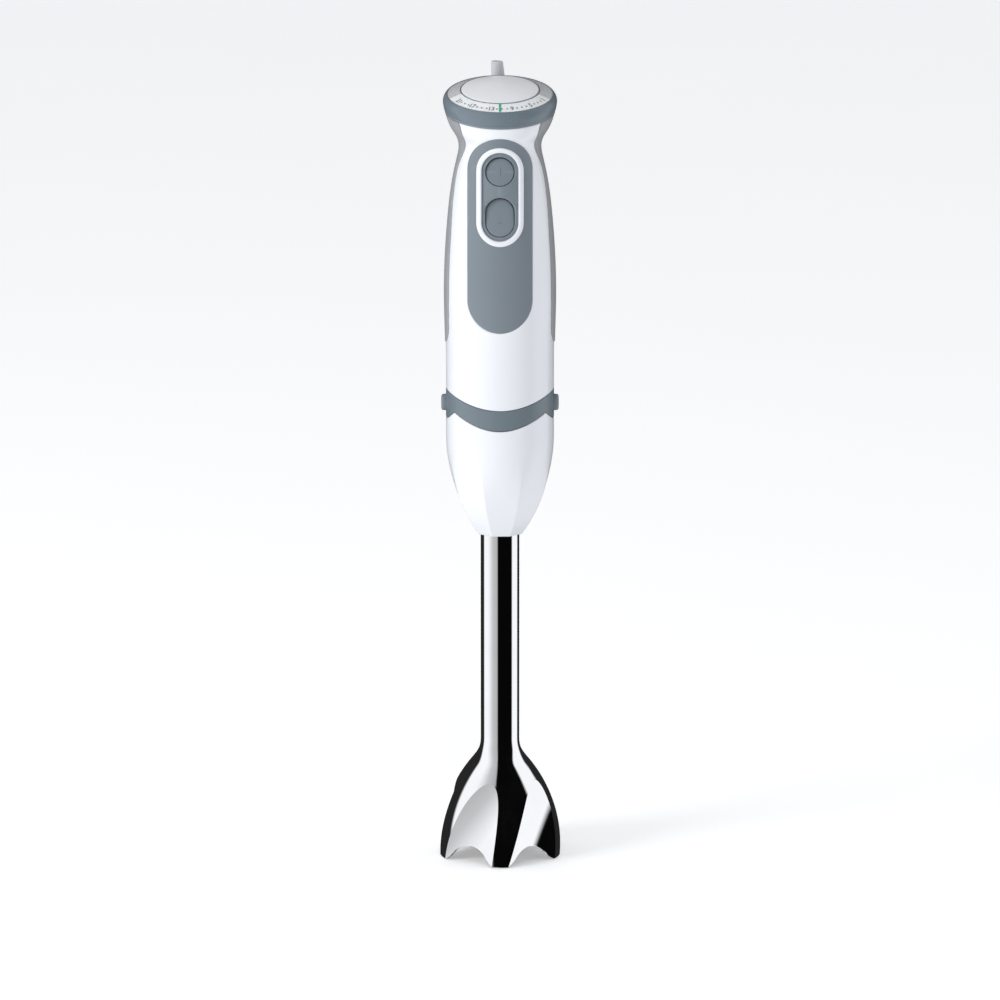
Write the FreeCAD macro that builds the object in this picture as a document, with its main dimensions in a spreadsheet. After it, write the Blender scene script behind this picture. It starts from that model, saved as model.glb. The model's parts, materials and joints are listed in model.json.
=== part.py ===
import FreeCAD, Part
import math
import os
from types import SimpleNamespace

import Sketcher
from FreeCAD import Placement, Rotation, Vector

# Immersion blender, standing on the feet of its bell. Millimetres, +Z up, the user's side
# (buttons and speed scale) faces -Y. The origin is on the axis, in the plane of the feet.

doc = FreeCAD.newDocument("immersion_blender")
sheet = doc.addObject("Spreadsheet::Sheet", "dims")

DIMENSIONS = {
    # fits
    "running_gap": 0.05,         # radial clearance of a shaft in its bush or bearing
    "part_gap": 0.3,             # gap between pieces that move past each other
    # bell: a turned form with five leaning, hollow, arched panels pressed into it
    "bell_rim_radius": 30.7,
    "bell_wall": 0.8,
    "bell_arc_radius": 71.8,     # convex side of the bell
    "bell_arc_height": 3.3,      # height of that arc's centre
    "bell_neck_fillet": 10,      # hollow curve between the bell and its tube
    "bell_top": 60,              # weld to the tube
    "panel_radius": 25.7,        # axis to the middle of a panel, at its widest
    "panel_plan_radius": 60,     # hollow curve of a panel in plan
    "panel_arc_radius": 95.3,    # curvature of a panel in side view
    "panel_arc_height": 9,
    "panel_lean": 10.5,          # degrees
    "panel_top": 46,
    "notch_height": 9.4,
    "notch_width": 38.8,        # where its curve would meet its own base
    "notch_sink": 1,            # how far that base lies under the feet
    # shaft tube and what it holds
    "tube_radius": 9.7,
    "tube_wall": 0.7,
    "tube_top": 190,
    "bell_hub_bottom": 37,
    "bell_hub_top": 62,
    "lower_bush_bottom": 43,
    "lower_bush_length": 14,
    "bush_radius": 4.8,
    "seal_radius": 6.5,
    "seal_height": 3.5,
    "guide_bottom": 112,
    "guide_length": 12,
    "guide_bore": 3.2,
    # drive line
    "shaft_radius": 2.5,
    "shaft_bottom": 9.5,
    "blade_level": 15,           # underside of the blade at the shaft
    "blade_thickness": 1.2,
    "blade_reach": 22.5,
    "blade_width": 11,
    "blade_bend": 5.9,           # axis to where a wing bends away
    "blade_rise": 20,            # degrees, one wing up and one down
    "blade_hub_radius": 5.2,
    "blade_hub_height": 9,
    "nut_radius": 4.4,
    "nut_height": 4,
    "clip_radius": 4.3,
    "clip_thickness": 0.8,
    # adaptor on top of the tube
    "adaptor_bottom": 165.5,
    "adaptor_bottom_radius": 11.05,
    "adaptor_shoulder": 216,     # where its side becomes vertical
    "handle_radius": 26.9,       # outside of the adaptor's rim and of the coupling band
    "plastic_wall": 2.2,
    "adaptor_collar_top": 182,
    "flange_bottom": 199,
    "flange_thickness": 3,
    "flange_radius": 22.6,
    "hub_bottom": 178,
    "neck_radius": 17.5,
    "neck_wall": 1.6,
    "neck_top": 236.5,
    "upper_bush_bottom": 182,
    "upper_bush_length": 14,
    "oring_radius": 1.1,
    "seal_setback": 9,           # from the adaptor's foot to its sealing ring
    "screw_circle": 13.2,
    "screw_radius": 1.3,
    "screw_head_radius": 2.4,
    "screw_head_height": 1.8,
    "screw_length": 12,
    # waved joint line between adaptor, band and housing, as seen from the side
    "lower_wave_top": 231.8,
    "lower_wave_radius": 36.3,
    "upper_wave_top": 239.4,
    "upper_wave_radius": 49.7,
    "tab_bottom": 224.5,         # tab of the band round each release button
    "tab_radius": 23.3,
    # couplings
    "driven_bottom": 206.6,
    "driven_top": 226,
    "star_core_radius": 3.6,
    "star_radius": 6.4,
    "star_arm_width": 3.2,
    "driving_radius": 8.2,
    "driving_bottom": 214,
    "driving_top": 242,
    "driving_floor": 228,        # bottom of the cup that takes the star
    # socket in the motor unit
    "socket_radius": 19.2,
    "socket_wall": 1.4,
    "socket_bottom": 222,
    "socket_top": 247,
    "socket_floor": 3,
    "socket_flange_bottom": 243,
    "socket_flange_radius": 24.2,
    # release buttons
    "release_height": 231.9,
    "release_radius": 4.1,
    "release_face": 29.3,
    "release_shoulder": 23.4,
    "release_shoulder_radius": 5.8,
    "release_shoulder_thickness": 1.6,
    "release_pocket": 27.4,      # end of the spring pocket
    "hook_arm_bottom": 238,
    "hook_arm_top": 241.3,
    "hook_width": 6,
    "hook_leg_inner": 11.8,
    "hook_leg_outer": 13.6,
    "hook_leg_bottom": 226,
    "hook_nose": 15.6,
    "hook_nose_bottom": 226,
    "hook_nose_top": 229,
    # motor
    "rotor_shaft_bottom": 229,
    "rotor_shaft_top": 344,
    "bearing_radius": 8,
    "bearing_height": 6.5,
    "lower_bearing_bottom": 252,
    "upper_bearing_bottom": 336.5,
    "damping_ring_inner": 17.5,
    "lower_plate_bottom": 249.5,
    "lower_plate_thickness": 2.2,
    "bracket_boss_wall": 1.6,
    "fan_bottom": 261.5,
    "fan_height": 8,
    "fan_radius": 20.3,
    "fan_blades": 12,
    "fan_hub_radius": 6,
    "fan_sheet": 1.2,
    "stack_bottom": 280,
    "stack_height": 28,
    "stator_radius": 21.5,
    "stator_bore": 12.7,
    "stator_slot_width": 4.4,     # slots for the field coils, beside the poles
    "stator_slot_depth": 9,
    "stator_slot_x": 12.2,
    "stator_slot_y": 8.5,
    "bolt_circle": 18.2,
    "bolt_turn": 22,             # degrees from the X axis
    "bolt_radius": 1.2,
    "bolt_head_radius": 2.2,
    "bolt_head_height": 1.5,
    "plate_leg_radius": 1.3,
    "rotor_radius": 12.1,
    "rotor_slots": 12,
    "rotor_slot_radius": 1.3,
    "rotor_slot_circle": 9.6,
    "winding_overhang": 6.5,
    "coil_radius": 19.2,
    "coil_overhang": 7.5,
    "coil_half_width": 14.2,
    "coil_inner": 4.3,           # axis to the flat inside of a coil
    "commutator_bottom": 317.5,
    "commutator_height": 14,
    "commutator_radius": 7,
    "brush_height": 323.5,
    "brush_length": 9,
    "brush_width": 5,
    "brush_thickness": 4,
    "holder_wall": 0.8,
    "holder_end": 19.2,
    "yoke_leg_inner": 19.6,
    "yoke_leg_outer": 21.2,
    "yoke_depth": 11,
    "yoke_bottom": 334,
    "yoke_thickness": 2,
    # handle: skin stations, as height, radius, forward tilt in degrees and setback
    "skin1_height": 222, "skin1_radius": 26.85, "skin1_tilt": 0, "skin1_back": 0,
    "skin2_height": 242, "skin2_radius": 26.85, "skin2_tilt": 0, "skin2_back": 0,
    "skin3_height": 262, "skin3_radius": 26.9, "skin3_tilt": 0, "skin3_back": 0,
    "skin4_height": 285, "skin4_radius": 27.4, "skin4_tilt": 0, "skin4_back": 0,
    "skin5_height": 305, "skin5_radius": 27, "skin5_tilt": 0, "skin5_back": 0,
    "skin6_height": 325, "skin6_radius": 25.6, "skin6_tilt": 0, "skin6_back": 0,
    "skin7_height": 343, "skin7_radius": 23.4, "skin7_tilt": 0, "skin7_back": 0,
    "skin8_height": 354, "skin8_radius": 21.1, "skin8_tilt": 3, "skin8_back": 0,
    "skin9_height": 361, "skin9_radius": 20, "skin9_tilt": 6.5, "skin9_back": 0.2,
    "skin10_height": 366, "skin10_radius": 21.3, "skin10_tilt": 9.5, "skin10_back": 0.6,
    "skin11_height": 371, "skin11_radius": 24.2, "skin11_tilt": 12, "skin11_back": 1.1,
    "skin12_height": 378, "skin12_radius": 26.8, "skin12_tilt": 13, "skin12_back": 1.91,
    # front panel, bezel and button plate, as seen from the front
    "panel_half_width": 16.1,
    "panel_bottom": 271,
    "panel_upper_end": 366.8,
    "inlay_depth": 1.4,          # depth of the panel's and grip's recess in the housing
    "bezel_half_width": 11.65,
    "bezel_bottom": 314.1,
    "bezel_top": 362.1,
    "bezel_width": 2.6,
    "bezel_proud": 0.35,
    "bezel_depth": 3.4,
    "plate_recess": 1.0,
    "plate_thickness": 1.4,
    # push buttons: middle of the face, surface lean, and the stack behind it
    "button_hole_radius": 7.17,
    "button_gap": 0.6,
    "button_travel": 2,
    "on_height": 350.6,
    "on_setback": 21.4,          # axis to the button's face
    "on_lean": 11,
    "turbo_height": 328.3,
    "turbo_setback": 24.7,
    "turbo_lean": 7.3,
    "turbo_straight": 4.8,       # straight part of the oblong button
    "button_datum": 12,          # local zero, this far behind the face
    "button_cap": 3.4,
    "button_tab": 0.5,           # reach of the retaining tabs past the hole
    "button_tab_width": 5,
    "button_tab_thickness": 0.5,
    "button_stem": 1.6,
    "button_spring_radius": 3.6,
    "switch_height": 1.8,
    "switch_radius": 2.4,
    # board behind the buttons
    "board_front": 13.6,
    "board_thickness": 1.6,
    "board_half_width": 9.5,
    "board_bottom": 318,
    "board_top": 361,
    # rear grip, as seen from the side
    "grip_proud": 0.45,
    "grip_bottom": 262.5,
    "grip_corner": 9,
    "grip_edge_low": 9.6,        # axis to the front edge, near its lower corner
    "grip_edge_waist": 6.9,
    "grip_waist_height": 352,
    "grip_edge_top": 15.2,
    "grip_top_height": 372,
    "grip_side_arc": 475,        # radius of the long front edge
    "grip_waist_arc": 60,
    # cord spout on the back, and the strain relief in it
    "spout1_setback": 20.5, "spout1_height": 350, "spout1_radius": 2.2,
    "spout2_setback": 27.5, "spout2_height": 362, "spout2_radius": 4.2,
    "spout3_setback": 31.6, "spout3_height": 371, "spout3_radius": 5.1,
    "spout_setback": 32.2,
    "spout_top": 384.2,
    "spout_radius": 5.2,
    "spout_wall": 1.5,
    "relief_top": 398.5,
    "relief_top_radius": 2.85,
    "relief_base_radius": 3.4,
    "relief_bore": 2.3,
    "clamp_half_width": 6,
    "clamp_front": 13.6,
    "clamp_bottom": 343,
    "clamp_height": 6,
    "clamp_way": 16.8,           # axis to the cord in the clamp
    # speed dial, on an axis that leans forward
    "dial_height": 386.3,        # middle of the grip ring's lip
    "dial_tilt": 13,
    "dial_datum": 40,            # local zero, this far under the lip
    "ring_lip_radius": 26.3,
    "ring_radius": 28.3,
    "ring_foot_radius": 27.6,
    "ring_height": 7.2,
    "ring_inner_radius": 25.9,
    "lens_rise": 2.2,            # how much higher the lens is at its inner edge
    "lens_thickness": 0.9,
    "scale_thickness": 1,
    "scale_post": 1.3,           # wall of the post that carries the scale
    "cap_radius": 19.1,
    "cap_crown": 2.3,
    "cap_band_radius": 20,
    "cap_thickness": 2,
    "seat_radius": 26.6,
    "seat_level": 7.5,           # depth of the seat's top under the lip
    "seat_thickness": 1,
    "seat_plug_radius": 22.4,
    "seat_plug_depth": 2.5,
    "spindle_radius": 3,
    "speed_control_radius": 8.5,
    "speed_control_height": 6,
}

for row, (alias, amount) in enumerate(DIMENSIONS.items(), start=1):
    sheet.set("A%d" % row, alias)
    sheet.set("B%d" % row, str(amount))
    sheet.setAlias("B%d" % row, alias)
doc.recompute()


class Size:
    """A dimension: its value now, and the expression that ties it to the sheet."""

    def __init__(self, value, text):
        self.value = value
        self.text = text

    def __float__(self):
        return self.value

    def __add__(self, other):
        other = size(other)
        return Size(self.value + other.value, "(%s + %s)" % (self.text, other.text))

    def __sub__(self, other):
        other = size(other)
        return Size(self.value - other.value, "(%s - %s)" % (self.text, other.text))

    def __mul__(self, other):
        other = size(other)
        return Size(self.value * other.value, "(%s * %s)" % (self.text, other.text))

    def __truediv__(self, other):
        other = size(other)
        return Size(self.value / other.value, "(%s / %s)" % (self.text, other.text))

    def __neg__(self):
        return Size(-self.value, "(0 - %s)" % self.text)

    def __radd__(self, other):
        return size(other) + self

    def __rsub__(self, other):
        return size(other) - self

    def __rmul__(self, other):
        return self * other


def size(value):
    return value if isinstance(value, Size) else Size(float(value), "%.6g" % value)


def root(value):
    return Size(math.sqrt(value.value), "sqrt(%s)" % value.text)


def sine(angle):
    return Size(math.sin(math.radians(angle.value)), "sin(%s)" % angle.text)


def cosine(angle):
    return Size(math.cos(math.radians(angle.value)), "cos(%s)" % angle.text)


d = SimpleNamespace(**{alias: Size(float(amount), "dims." + alias)
                       for alias, amount in DIMENSIONS.items()})
TO_X = Vector(1, 0, 0)
TO_Y = Vector(0, 1, 0)
TO_Z = Vector(0, 0, 1)
CLEAR = 60                       # how far a cutting tool reaches past the handle
STATIONS = 12                    # of the handle's skin


# ---------------------------------------------------------------- ways of making a piece

def bind(thing, **sizes):
    for name, value in sizes.items():
        value = size(value)
        setattr(thing, name, value.value)
        thing.setExpression(name, value.text)
    return thing


def place(thing, x=0, y=0, z=0, axis=None, angle=0):
    """Puts a piece at x, y, z, turned about one axis, and keeps it there as sizes change."""
    spot = [size(value) for value in (x, y, z)]
    turn = Rotation(axis, size(angle).value) if axis is not None else Rotation()
    thing.Placement = Placement(Vector(*[value.value for value in spot]), turn)
    for letter, value in zip("xyz", spot):
        thing.setExpression("Placement.Base." + letter, value.text)
    if axis is not None and "dims" in size(angle).text:
        thing.setExpression("Placement.Rotation.Angle", size(angle).text)
    return thing


def edge_between(start, end, radius, side):
    """A straight edge, or an arc whose centre is left (1) or right (-1) of the way along."""
    if radius is None:
        return Part.LineSegment(start, end)
    chord = end - start
    left = Vector(-chord.y, chord.x, 0).normalize() * side
    centre = (start + end) / 2 + left * math.sqrt(radius ** 2 - (chord.Length / 2) ** 2)
    return Part.Arc(start, centre - left * radius, end)


def outline(body, name, role, corners):
    """A closed outline on one of the body's own planes. A corner is (x, y), or
    (x, y, radius, side) where the edge that leaves it is an arc."""
    sketch = body.newObject("Sketcher::SketchObject", name)
    plane = [feature for feature in body.Origin.OriginFeatures if feature.Role == role][0]
    sketch.AttachmentSupport = [(plane, "")]
    sketch.MapMode = "FlatFace"
    points = [Vector(size(corner[0]).value, size(corner[1]).value, 0) for corner in corners]
    ends = []
    for index, corner in enumerate(corners):
        start, end = points[index], points[(index + 1) % len(points)]
        radius, side = (size(corner[2]), corner[3]) if len(corner) == 4 else (None, 0)
        edge = sketch.addGeometry(edge_between(start, end, radius and radius.value, side), False)
        first = 1 if (sketch.getPoint(edge, 1) - start).Length < 1e-6 else 2
        ends.append((edge, first, 3 - first))
        if radius is not None:
            rule = sketch.addConstraint(Sketcher.Constraint("Radius", edge, radius.value))
            sketch.setExpression("Constraints[%d]" % rule, radius.text)
    for index, (edge, _, last) in enumerate(ends):
        following, first, _ = ends[(index + 1) % len(ends)]
        sketch.addConstraint(Sketcher.Constraint("Coincident", edge, last, following, first))
    for (edge, first, _), corner in zip(ends, corners):
        for kind, value, datum in (("DistanceX", size(corner[0]), -2), ("DistanceY", size(corner[1]), -1)):
            if value.value == 0:
                sketch.addConstraint(Sketcher.Constraint("PointOnObject", edge, first, datum))
                continue
            rule = sketch.addConstraint(Sketcher.Constraint(kind, -1, 1, edge, first, value.value))
            sketch.setExpression("Constraints[%d]" % rule, value.text)
    return sketch


def turned(name, corners, **where):
    """A turned piece: an outline of (radius, height) corners spun about the local Z axis."""
    body = doc.addObject("PartDesign::Body", name)
    spin = body.newObject("PartDesign::Revolution", name + "_spin")
    sketch = outline(body, name + "_profile", "XZ_Plane", corners)
    spin.Profile = (sketch, [""])
    spin.ReferenceAxis = (sketch, ["V_Axis"])
    spin.Angle = 360
    body.Tip = spin
    return place(body, **where)


def ring(name, inner, outer, bottom, top, **where):
    return turned(name, [(inner, bottom), (outer, bottom), (outer, top), (inner, top)], **where)


def block(name, x, y, z, **turn):
    """A box between two limits on each axis."""
    box = doc.addObject("Part::Box", name)
    low = [size(limits[0]) for limits in (x, y, z)]
    bind(box, Length=size(x[1]) - low[0], Width=size(y[1]) - low[1], Height=size(z[1]) - low[2])
    return place(box, low[0], low[1], low[2], **turn)


def rod(name, radius, length, **where):
    return place(bind(doc.addObject("Part::Cylinder", name), Radius=radius, Height=length), **where)


def crossbar(name, radius, z, y=0):
    """A long cylinder along X, wider than the handle."""
    return rod(name, radius, 2 * CLEAR, x=-CLEAR, y=y, z=z, axis=TO_Y, angle=90)


def fuse(name, *pieces):
    joined = doc.addObject("Part::MultiFuse", name)
    joined.Shapes = list(pieces)
    return joined


def common(name, *pieces):
    shared = doc.addObject("Part::MultiCommon", name)
    shared.Shapes = list(pieces)
    return shared


def cut(name, base, *tools):
    result = doc.addObject("Part::Cut", name)
    result.Base = base
    result.Tool = tools[0] if len(tools) == 1 else fuse(name + "_tools", *tools)
    return result


def group(name, *pieces):
    """Several separate solids that share one node."""
    together = doc.addObject("Part::Compound", name)
    together.Links = list(pieces)
    return together


def mirrored(name, piece):
    """The same piece on the other side of the YZ plane."""
    copy = doc.addObject("Part::Mirroring", name)
    copy.Source = piece
    copy.Normal = TO_X
    return copy


def around(name, count, radius, make, start=0):
    """Equal pieces on a circle; make(name, x, y) makes one."""
    pieces = []
    for number in range(count):
        angle = math.radians(start + 360 * number / count)
        pieces.append(make("%s_%d" % (name, number + 1), radius * math.cos(angle), radius * math.sin(angle)))
    return pieces


def coil(name, radius, wire, pitch, height, **where):
    """A coil spring that stands on its local zero."""
    body = doc.addObject("PartDesign::Body", name)
    sketch = body.newObject("Sketcher::SketchObject", name + "_wire")
    plane = [feature for feature in body.Origin.OriginFeatures if feature.Role == "XZ_Plane"][0]
    sketch.AttachmentSupport = [(plane, "")]
    sketch.MapMode = "FlatFace"
    radius = size(radius)
    sketch.addGeometry(Part.Circle(Vector(radius.value, wire, 0), TO_Z, wire), False)
    sketch.addConstraint(Sketcher.Constraint("Radius", 0, wire))
    rule = sketch.addConstraint(Sketcher.Constraint("DistanceX", -1, 1, 0, 3, radius.value))
    sketch.setExpression("Constraints[%d]" % rule, radius.text)
    sketch.addConstraint(Sketcher.Constraint("DistanceY", -1, 1, 0, 3, wire))
    helix = body.newObject("PartDesign::AdditiveHelix", name + "_helix")
    helix.Profile = (sketch, [""])
    helix.ReferenceAxis = (sketch, ["V_Axis"])
    helix.Mode = 0
    helix.Pitch = pitch
    bind(helix, Height=size(height) - 2 * wire)
    body.Tip = helix
    return place(body, **where)


def stadium(name, half_width, bottom, top):
    """An upright oblong prism along Y, in front of the axis."""
    half_width, bottom, top = size(half_width), size(bottom), size(top)
    middle = block(name + "_middle", (-half_width, half_width), (-CLEAR, 0),
                   (bottom + half_width, top - half_width))
    ends = [rod(name + end, half_width, CLEAR, z=height, axis=TO_X, angle=90)
            for end, height in (("_low", bottom + half_width), ("_high", top - half_width))]
    return fuse(name, middle, *ends)


nodes = []


def node(piece):
    nodes.append(piece)
    return piece


# ---------------------------------------------------------------- handle skins and cutting forms

def handle_skin(name, offset):
    """The handle's outer form, grown or shrunk, as a solid lofted through its stations."""
    stations = []
    for number in range(1, STATIONS + 1):
        height, radius, tilt, back = [getattr(d, "skin%d_%s" % (number, key))
                                      for key in ("height", "radius", "tilt", "back")]
        station = bind(doc.addObject("Part::Circle", "%s_%d" % (name, number)), Radius=radius + offset)
        if tilt.value:
            place(station, y=back, z=height, axis=TO_X, angle=tilt)
        else:
            place(station, y=back, z=height)
        stations.append(station)
    loft = doc.addObject("Part::Loft", name)
    loft.Sections = stations
    loft.Solid = True
    return loft


skin = handle_skin("skin", 0)
inner_skin = handle_skin("inner_skin", -d.plastic_wall)
inlay_skin = handle_skin("inlay_skin", -d.inlay_depth)
grip_skin = handle_skin("grip_skin", d.grip_proud)
bezel_skin = handle_skin("bezel_skin", d.bezel_proud)
bezel_floor_skin = handle_skin("bezel_floor_skin", -d.bezel_depth)
plate_skin = handle_skin("plate_skin", -d.plate_recess)
plate_floor_skin = handle_skin("plate_floor_skin", -(d.plate_recess + d.plate_thickness))

panel_form = stadium("panel_form", d.panel_half_width, d.panel_bottom, d.panel_upper_end)
bezel_form = stadium("bezel_form", d.bezel_half_width, d.bezel_bottom, d.bezel_top)
window_form = stadium("window_form", d.bezel_half_width - d.bezel_width,
                      d.bezel_bottom + d.bezel_width, d.bezel_top - d.bezel_width)
upper_wave = crossbar("upper_wave", d.upper_wave_radius, d.upper_wave_top - d.upper_wave_radius)
band_lower_wave = crossbar("band_lower_wave", d.lower_wave_radius, d.lower_wave_top - d.lower_wave_radius)
band_tab = crossbar("band_tab", d.tab_radius, d.tab_bottom + d.tab_radius)
rim_wave = crossbar("rim_wave", d.lower_wave_radius - d.part_gap, d.lower_wave_top - d.lower_wave_radius)
rim_tab = crossbar("rim_tab", d.tab_radius + d.part_gap, d.tab_bottom + d.tab_radius)


def grip_region():
    """The side outline of the rear grip, drawn behind a datum in front of the handle."""
    body = doc.addObject("PartDesign::Body", "grip_region")
    pad = body.newObject("PartDesign::Pad", "grip_region_pad")
    top = d.dial_height + CLEAR
    sketch = outline(body, "grip_region_outline", "YZ_Plane", [
        (CLEAR - d.grip_edge_low, d.grip_bottom + d.grip_corner, d.grip_side_arc, -1),
        (CLEAR - d.grip_edge_waist, d.grip_waist_height, d.grip_waist_arc, 1),
        (CLEAR - d.grip_edge_top, d.grip_top_height),
        (CLEAR - d.grip_edge_top, top),
        (2 * size(CLEAR), top),
        (2 * size(CLEAR), d.grip_bottom),
        (CLEAR - d.grip_edge_low + d.grip_corner, d.grip_bottom, d.grip_corner, -1)])
    pad.Profile = (sketch, [""])
    pad.Midplane = True
    bind(pad, Length=2 * CLEAR)
    body.Tip = pad
    return place(body, y=-CLEAR)


# ---------------------------------------------------------------- blending shaft: metal parts

def panel_cutter(turn, inset):
    """The space outside one leaning panel, lofted through level slices of it."""
    slices = []
    rise = d.panel_top.value / 4
    for number in range(-1, 5):
        height = number * rise
        above = height - d.panel_arc_height.value
        arc = d.panel_arc_radius.value
        drop = arc - math.sqrt(arc ** 2 - above ** 2)
        plan = d.panel_plan_radius.value + inset
        middle = d.panel_radius.value - drop - inset
        half = math.radians(20)
        centre = middle + plan
        bow = [Vector(centre - plan * math.cos(angle), plan * math.sin(angle), height)
               for angle in (-half, 0, half)]
        reach = d.bell_rim_radius.value + 10
        far = [Vector(reach, bow[2].y, height), Vector(reach, bow[0].y, height)]
        edges = [Part.Arc(*bow).toShape(), Part.makeLine(bow[2], far[0]),
                 Part.makeLine(far[0], far[1]), Part.makeLine(far[1], bow[0])]
        wire = Part.Wire(edges)
        sideways = height * math.tan(math.radians(d.panel_lean.value))
        wire.rotate(Vector(), TO_Z, turn + math.degrees(sideways / middle))
        slices.append(wire)
    return Part.makeLoft(slices, True)


def bell_form(inset):
    """The bell's outer form, or with an inset the hollow inside it."""
    arc = d.bell_arc_radius.value - inset
    fillet = d.bell_neck_fillet.value + inset
    level = d.bell_arc_height.value
    centre = d.bell_rim_radius.value - math.sqrt(d.bell_arc_radius.value ** 2 - level ** 2)
    tube = d.tube_radius.value - inset
    fillet_x = tube + fillet
    fillet_z = level + math.sqrt((arc + fillet) ** 2 - (fillet_x - centre) ** 2)
    lean = math.atan2(fillet_z - level, fillet_x - centre)
    top = d.bell_top.value
    bottom = -1 if inset else 0

    def on_bell(angle):
        return Vector(centre + arc * math.cos(angle), 0, level + arc * math.sin(angle))

    def on_fillet(angle):
        return Vector(fillet_x - fillet * math.cos(angle), 0, fillet_z - fillet * math.sin(angle))

    low = math.asin((bottom - level) / arc)
    corners = [Vector(0, 0, bottom), on_bell(low), on_bell(lean), on_fillet(0),
               Vector(tube, 0, top), Vector(0, 0, top)]
    edges = [Part.makeLine(corners[0], corners[1]),
             Part.Arc(corners[1], on_bell((low + lean) / 2), corners[2]).toShape(),
             Part.Arc(corners[2], on_fillet(lean / 2), corners[3]).toShape(),
             Part.makeLine(corners[3], corners[4]),
             Part.makeLine(corners[4], corners[5]),
             Part.makeLine(corners[5], corners[0])]
    form = Part.Face(Part.Wire(edges)).revolve(Vector(), TO_Z, 360)
    return form.cut([panel_cutter(turn, inset) for turn in panel_turns()])


def panel_turns():
    """Directions of the five panels; a foot stands at the front, between two of them."""
    return [-90 + 36 + 72 * number for number in range(5)]


def notch(turn):
    """The arched gap under one panel, with smooth shoulders, cut straight through."""
    half, top, base = d.notch_width.value / 2, d.notch_height.value, -d.notch_sink.value
    radius = (half ** 2 + top ** 2) / (4 * top)
    sweep = math.asin(half / 2 / radius)
    reach = d.bell_rim_radius.value + 10

    def shoulder(side, angle):
        return Vector(reach, side * (half - radius * math.sin(angle)), base + radius * (1 - math.cos(angle)))

    def crown(side, angle):
        return Vector(reach, side * radius * math.sin(angle), base + top - radius * (1 - math.cos(angle)))

    left, right = Vector(reach, -half, 2 * base), Vector(reach, half, 2 * base)
    edges = [Part.makeLine(left, shoulder(-1, 0)),
             Part.Arc(shoulder(-1, 0), shoulder(-1, sweep / 2), shoulder(-1, sweep)).toShape(),
             Part.Arc(crown(-1, sweep), crown(-1, 0), crown(1, sweep)).toShape(),
             Part.Arc(shoulder(1, sweep), shoulder(1, sweep / 2), shoulder(1, 0)).toShape(),
             Part.makeLine(shoulder(1, 0), right),
             Part.makeLine(right, left)]
    gap = Part.Face(Part.Wire(edges)).extrude(Vector(-reach, 0, 0))
    gap.rotate(Vector(), TO_Z, turn)
    return gap


def make_bell():
    bell = doc.addObject("Part::Feature", "bell")
    shape = bell_form(0).cut(bell_form(d.bell_wall.value))
    bore = Part.makeCylinder(d.tube_radius.value - d.tube_wall.value, 20, Vector(0, 0, d.bell_top.value - 5))
    bell.Shape = shape.cut([bore] + [notch(turn) for turn in panel_turns()])
    return bell


node(make_bell())
tube_inside = d.tube_radius - d.tube_wall
node(ring("shaft_tube", tube_inside, d.tube_radius, d.bell_top, d.tube_top))
node(turned("bell_hub", [
    (d.bush_radius, d.lower_bush_bottom), (d.guide_bore, d.lower_bush_bottom),
    (d.guide_bore, d.bell_hub_bottom + d.seal_height), (d.seal_radius, d.bell_hub_bottom + d.seal_height),
    (d.seal_radius, d.bell_hub_bottom), (tube_inside - 0.5, d.bell_hub_bottom),
    (tube_inside - 0.5, d.bell_hub_top), (d.bush_radius, d.bell_hub_top)]))
node(ring("lower_bush", d.shaft_radius + d.running_gap, d.bush_radius,
          d.lower_bush_bottom, d.lower_bush_bottom + d.lower_bush_length))
node(turned("shaft_seal", [
    (d.shaft_radius + d.running_gap, d.bell_hub_bottom + 1), (d.shaft_radius + 1.2, d.bell_hub_bottom),
    (d.seal_radius, d.bell_hub_bottom), (d.seal_radius, d.bell_hub_bottom + d.seal_height),
    (d.shaft_radius + 1.2, d.bell_hub_bottom + d.seal_height),
    (d.shaft_radius + d.running_gap, d.bell_hub_bottom + d.seal_height - 1)]))
node(ring("shaft_guide", d.guide_bore, tube_inside, d.guide_bottom, d.guide_bottom + d.guide_length))
node(ring("upper_bush", d.shaft_radius + d.running_gap, d.bush_radius,
          d.upper_bush_bottom, d.upper_bush_bottom + d.upper_bush_length))


# ---------------------------------------------------------------- adaptor

def screw(name, x, y):
    head = rod(name + "_head", d.screw_head_radius, d.screw_head_height,
               x=x, y=y, z=d.flange_bottom + d.flange_thickness)
    shank = rod(name + "_shank", d.screw_radius, d.screw_length,
                x=x, y=y, z=d.flange_bottom + d.flange_thickness - d.screw_length)
    return fuse(name, head, shank)


def screw_boss(name, x, y):
    return rod(name, d.screw_radius + 1.9, d.flange_bottom - d.adaptor_collar_top + 0.5,
               x=x, y=y, z=d.adaptor_collar_top - 0.5)


def screw_hole(name, x, y):
    return rod(name, d.screw_radius, CLEAR, x=x, y=y, z=d.flange_bottom + d.flange_thickness - d.screw_length)


adaptor_rise = d.adaptor_shoulder - d.adaptor_bottom
adaptor_swell = d.handle_radius - d.adaptor_bottom_radius
adaptor_arc = (adaptor_rise * adaptor_rise + adaptor_swell * adaptor_swell) / (2 * adaptor_swell)
seal_level = d.adaptor_bottom + d.seal_setback


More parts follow.
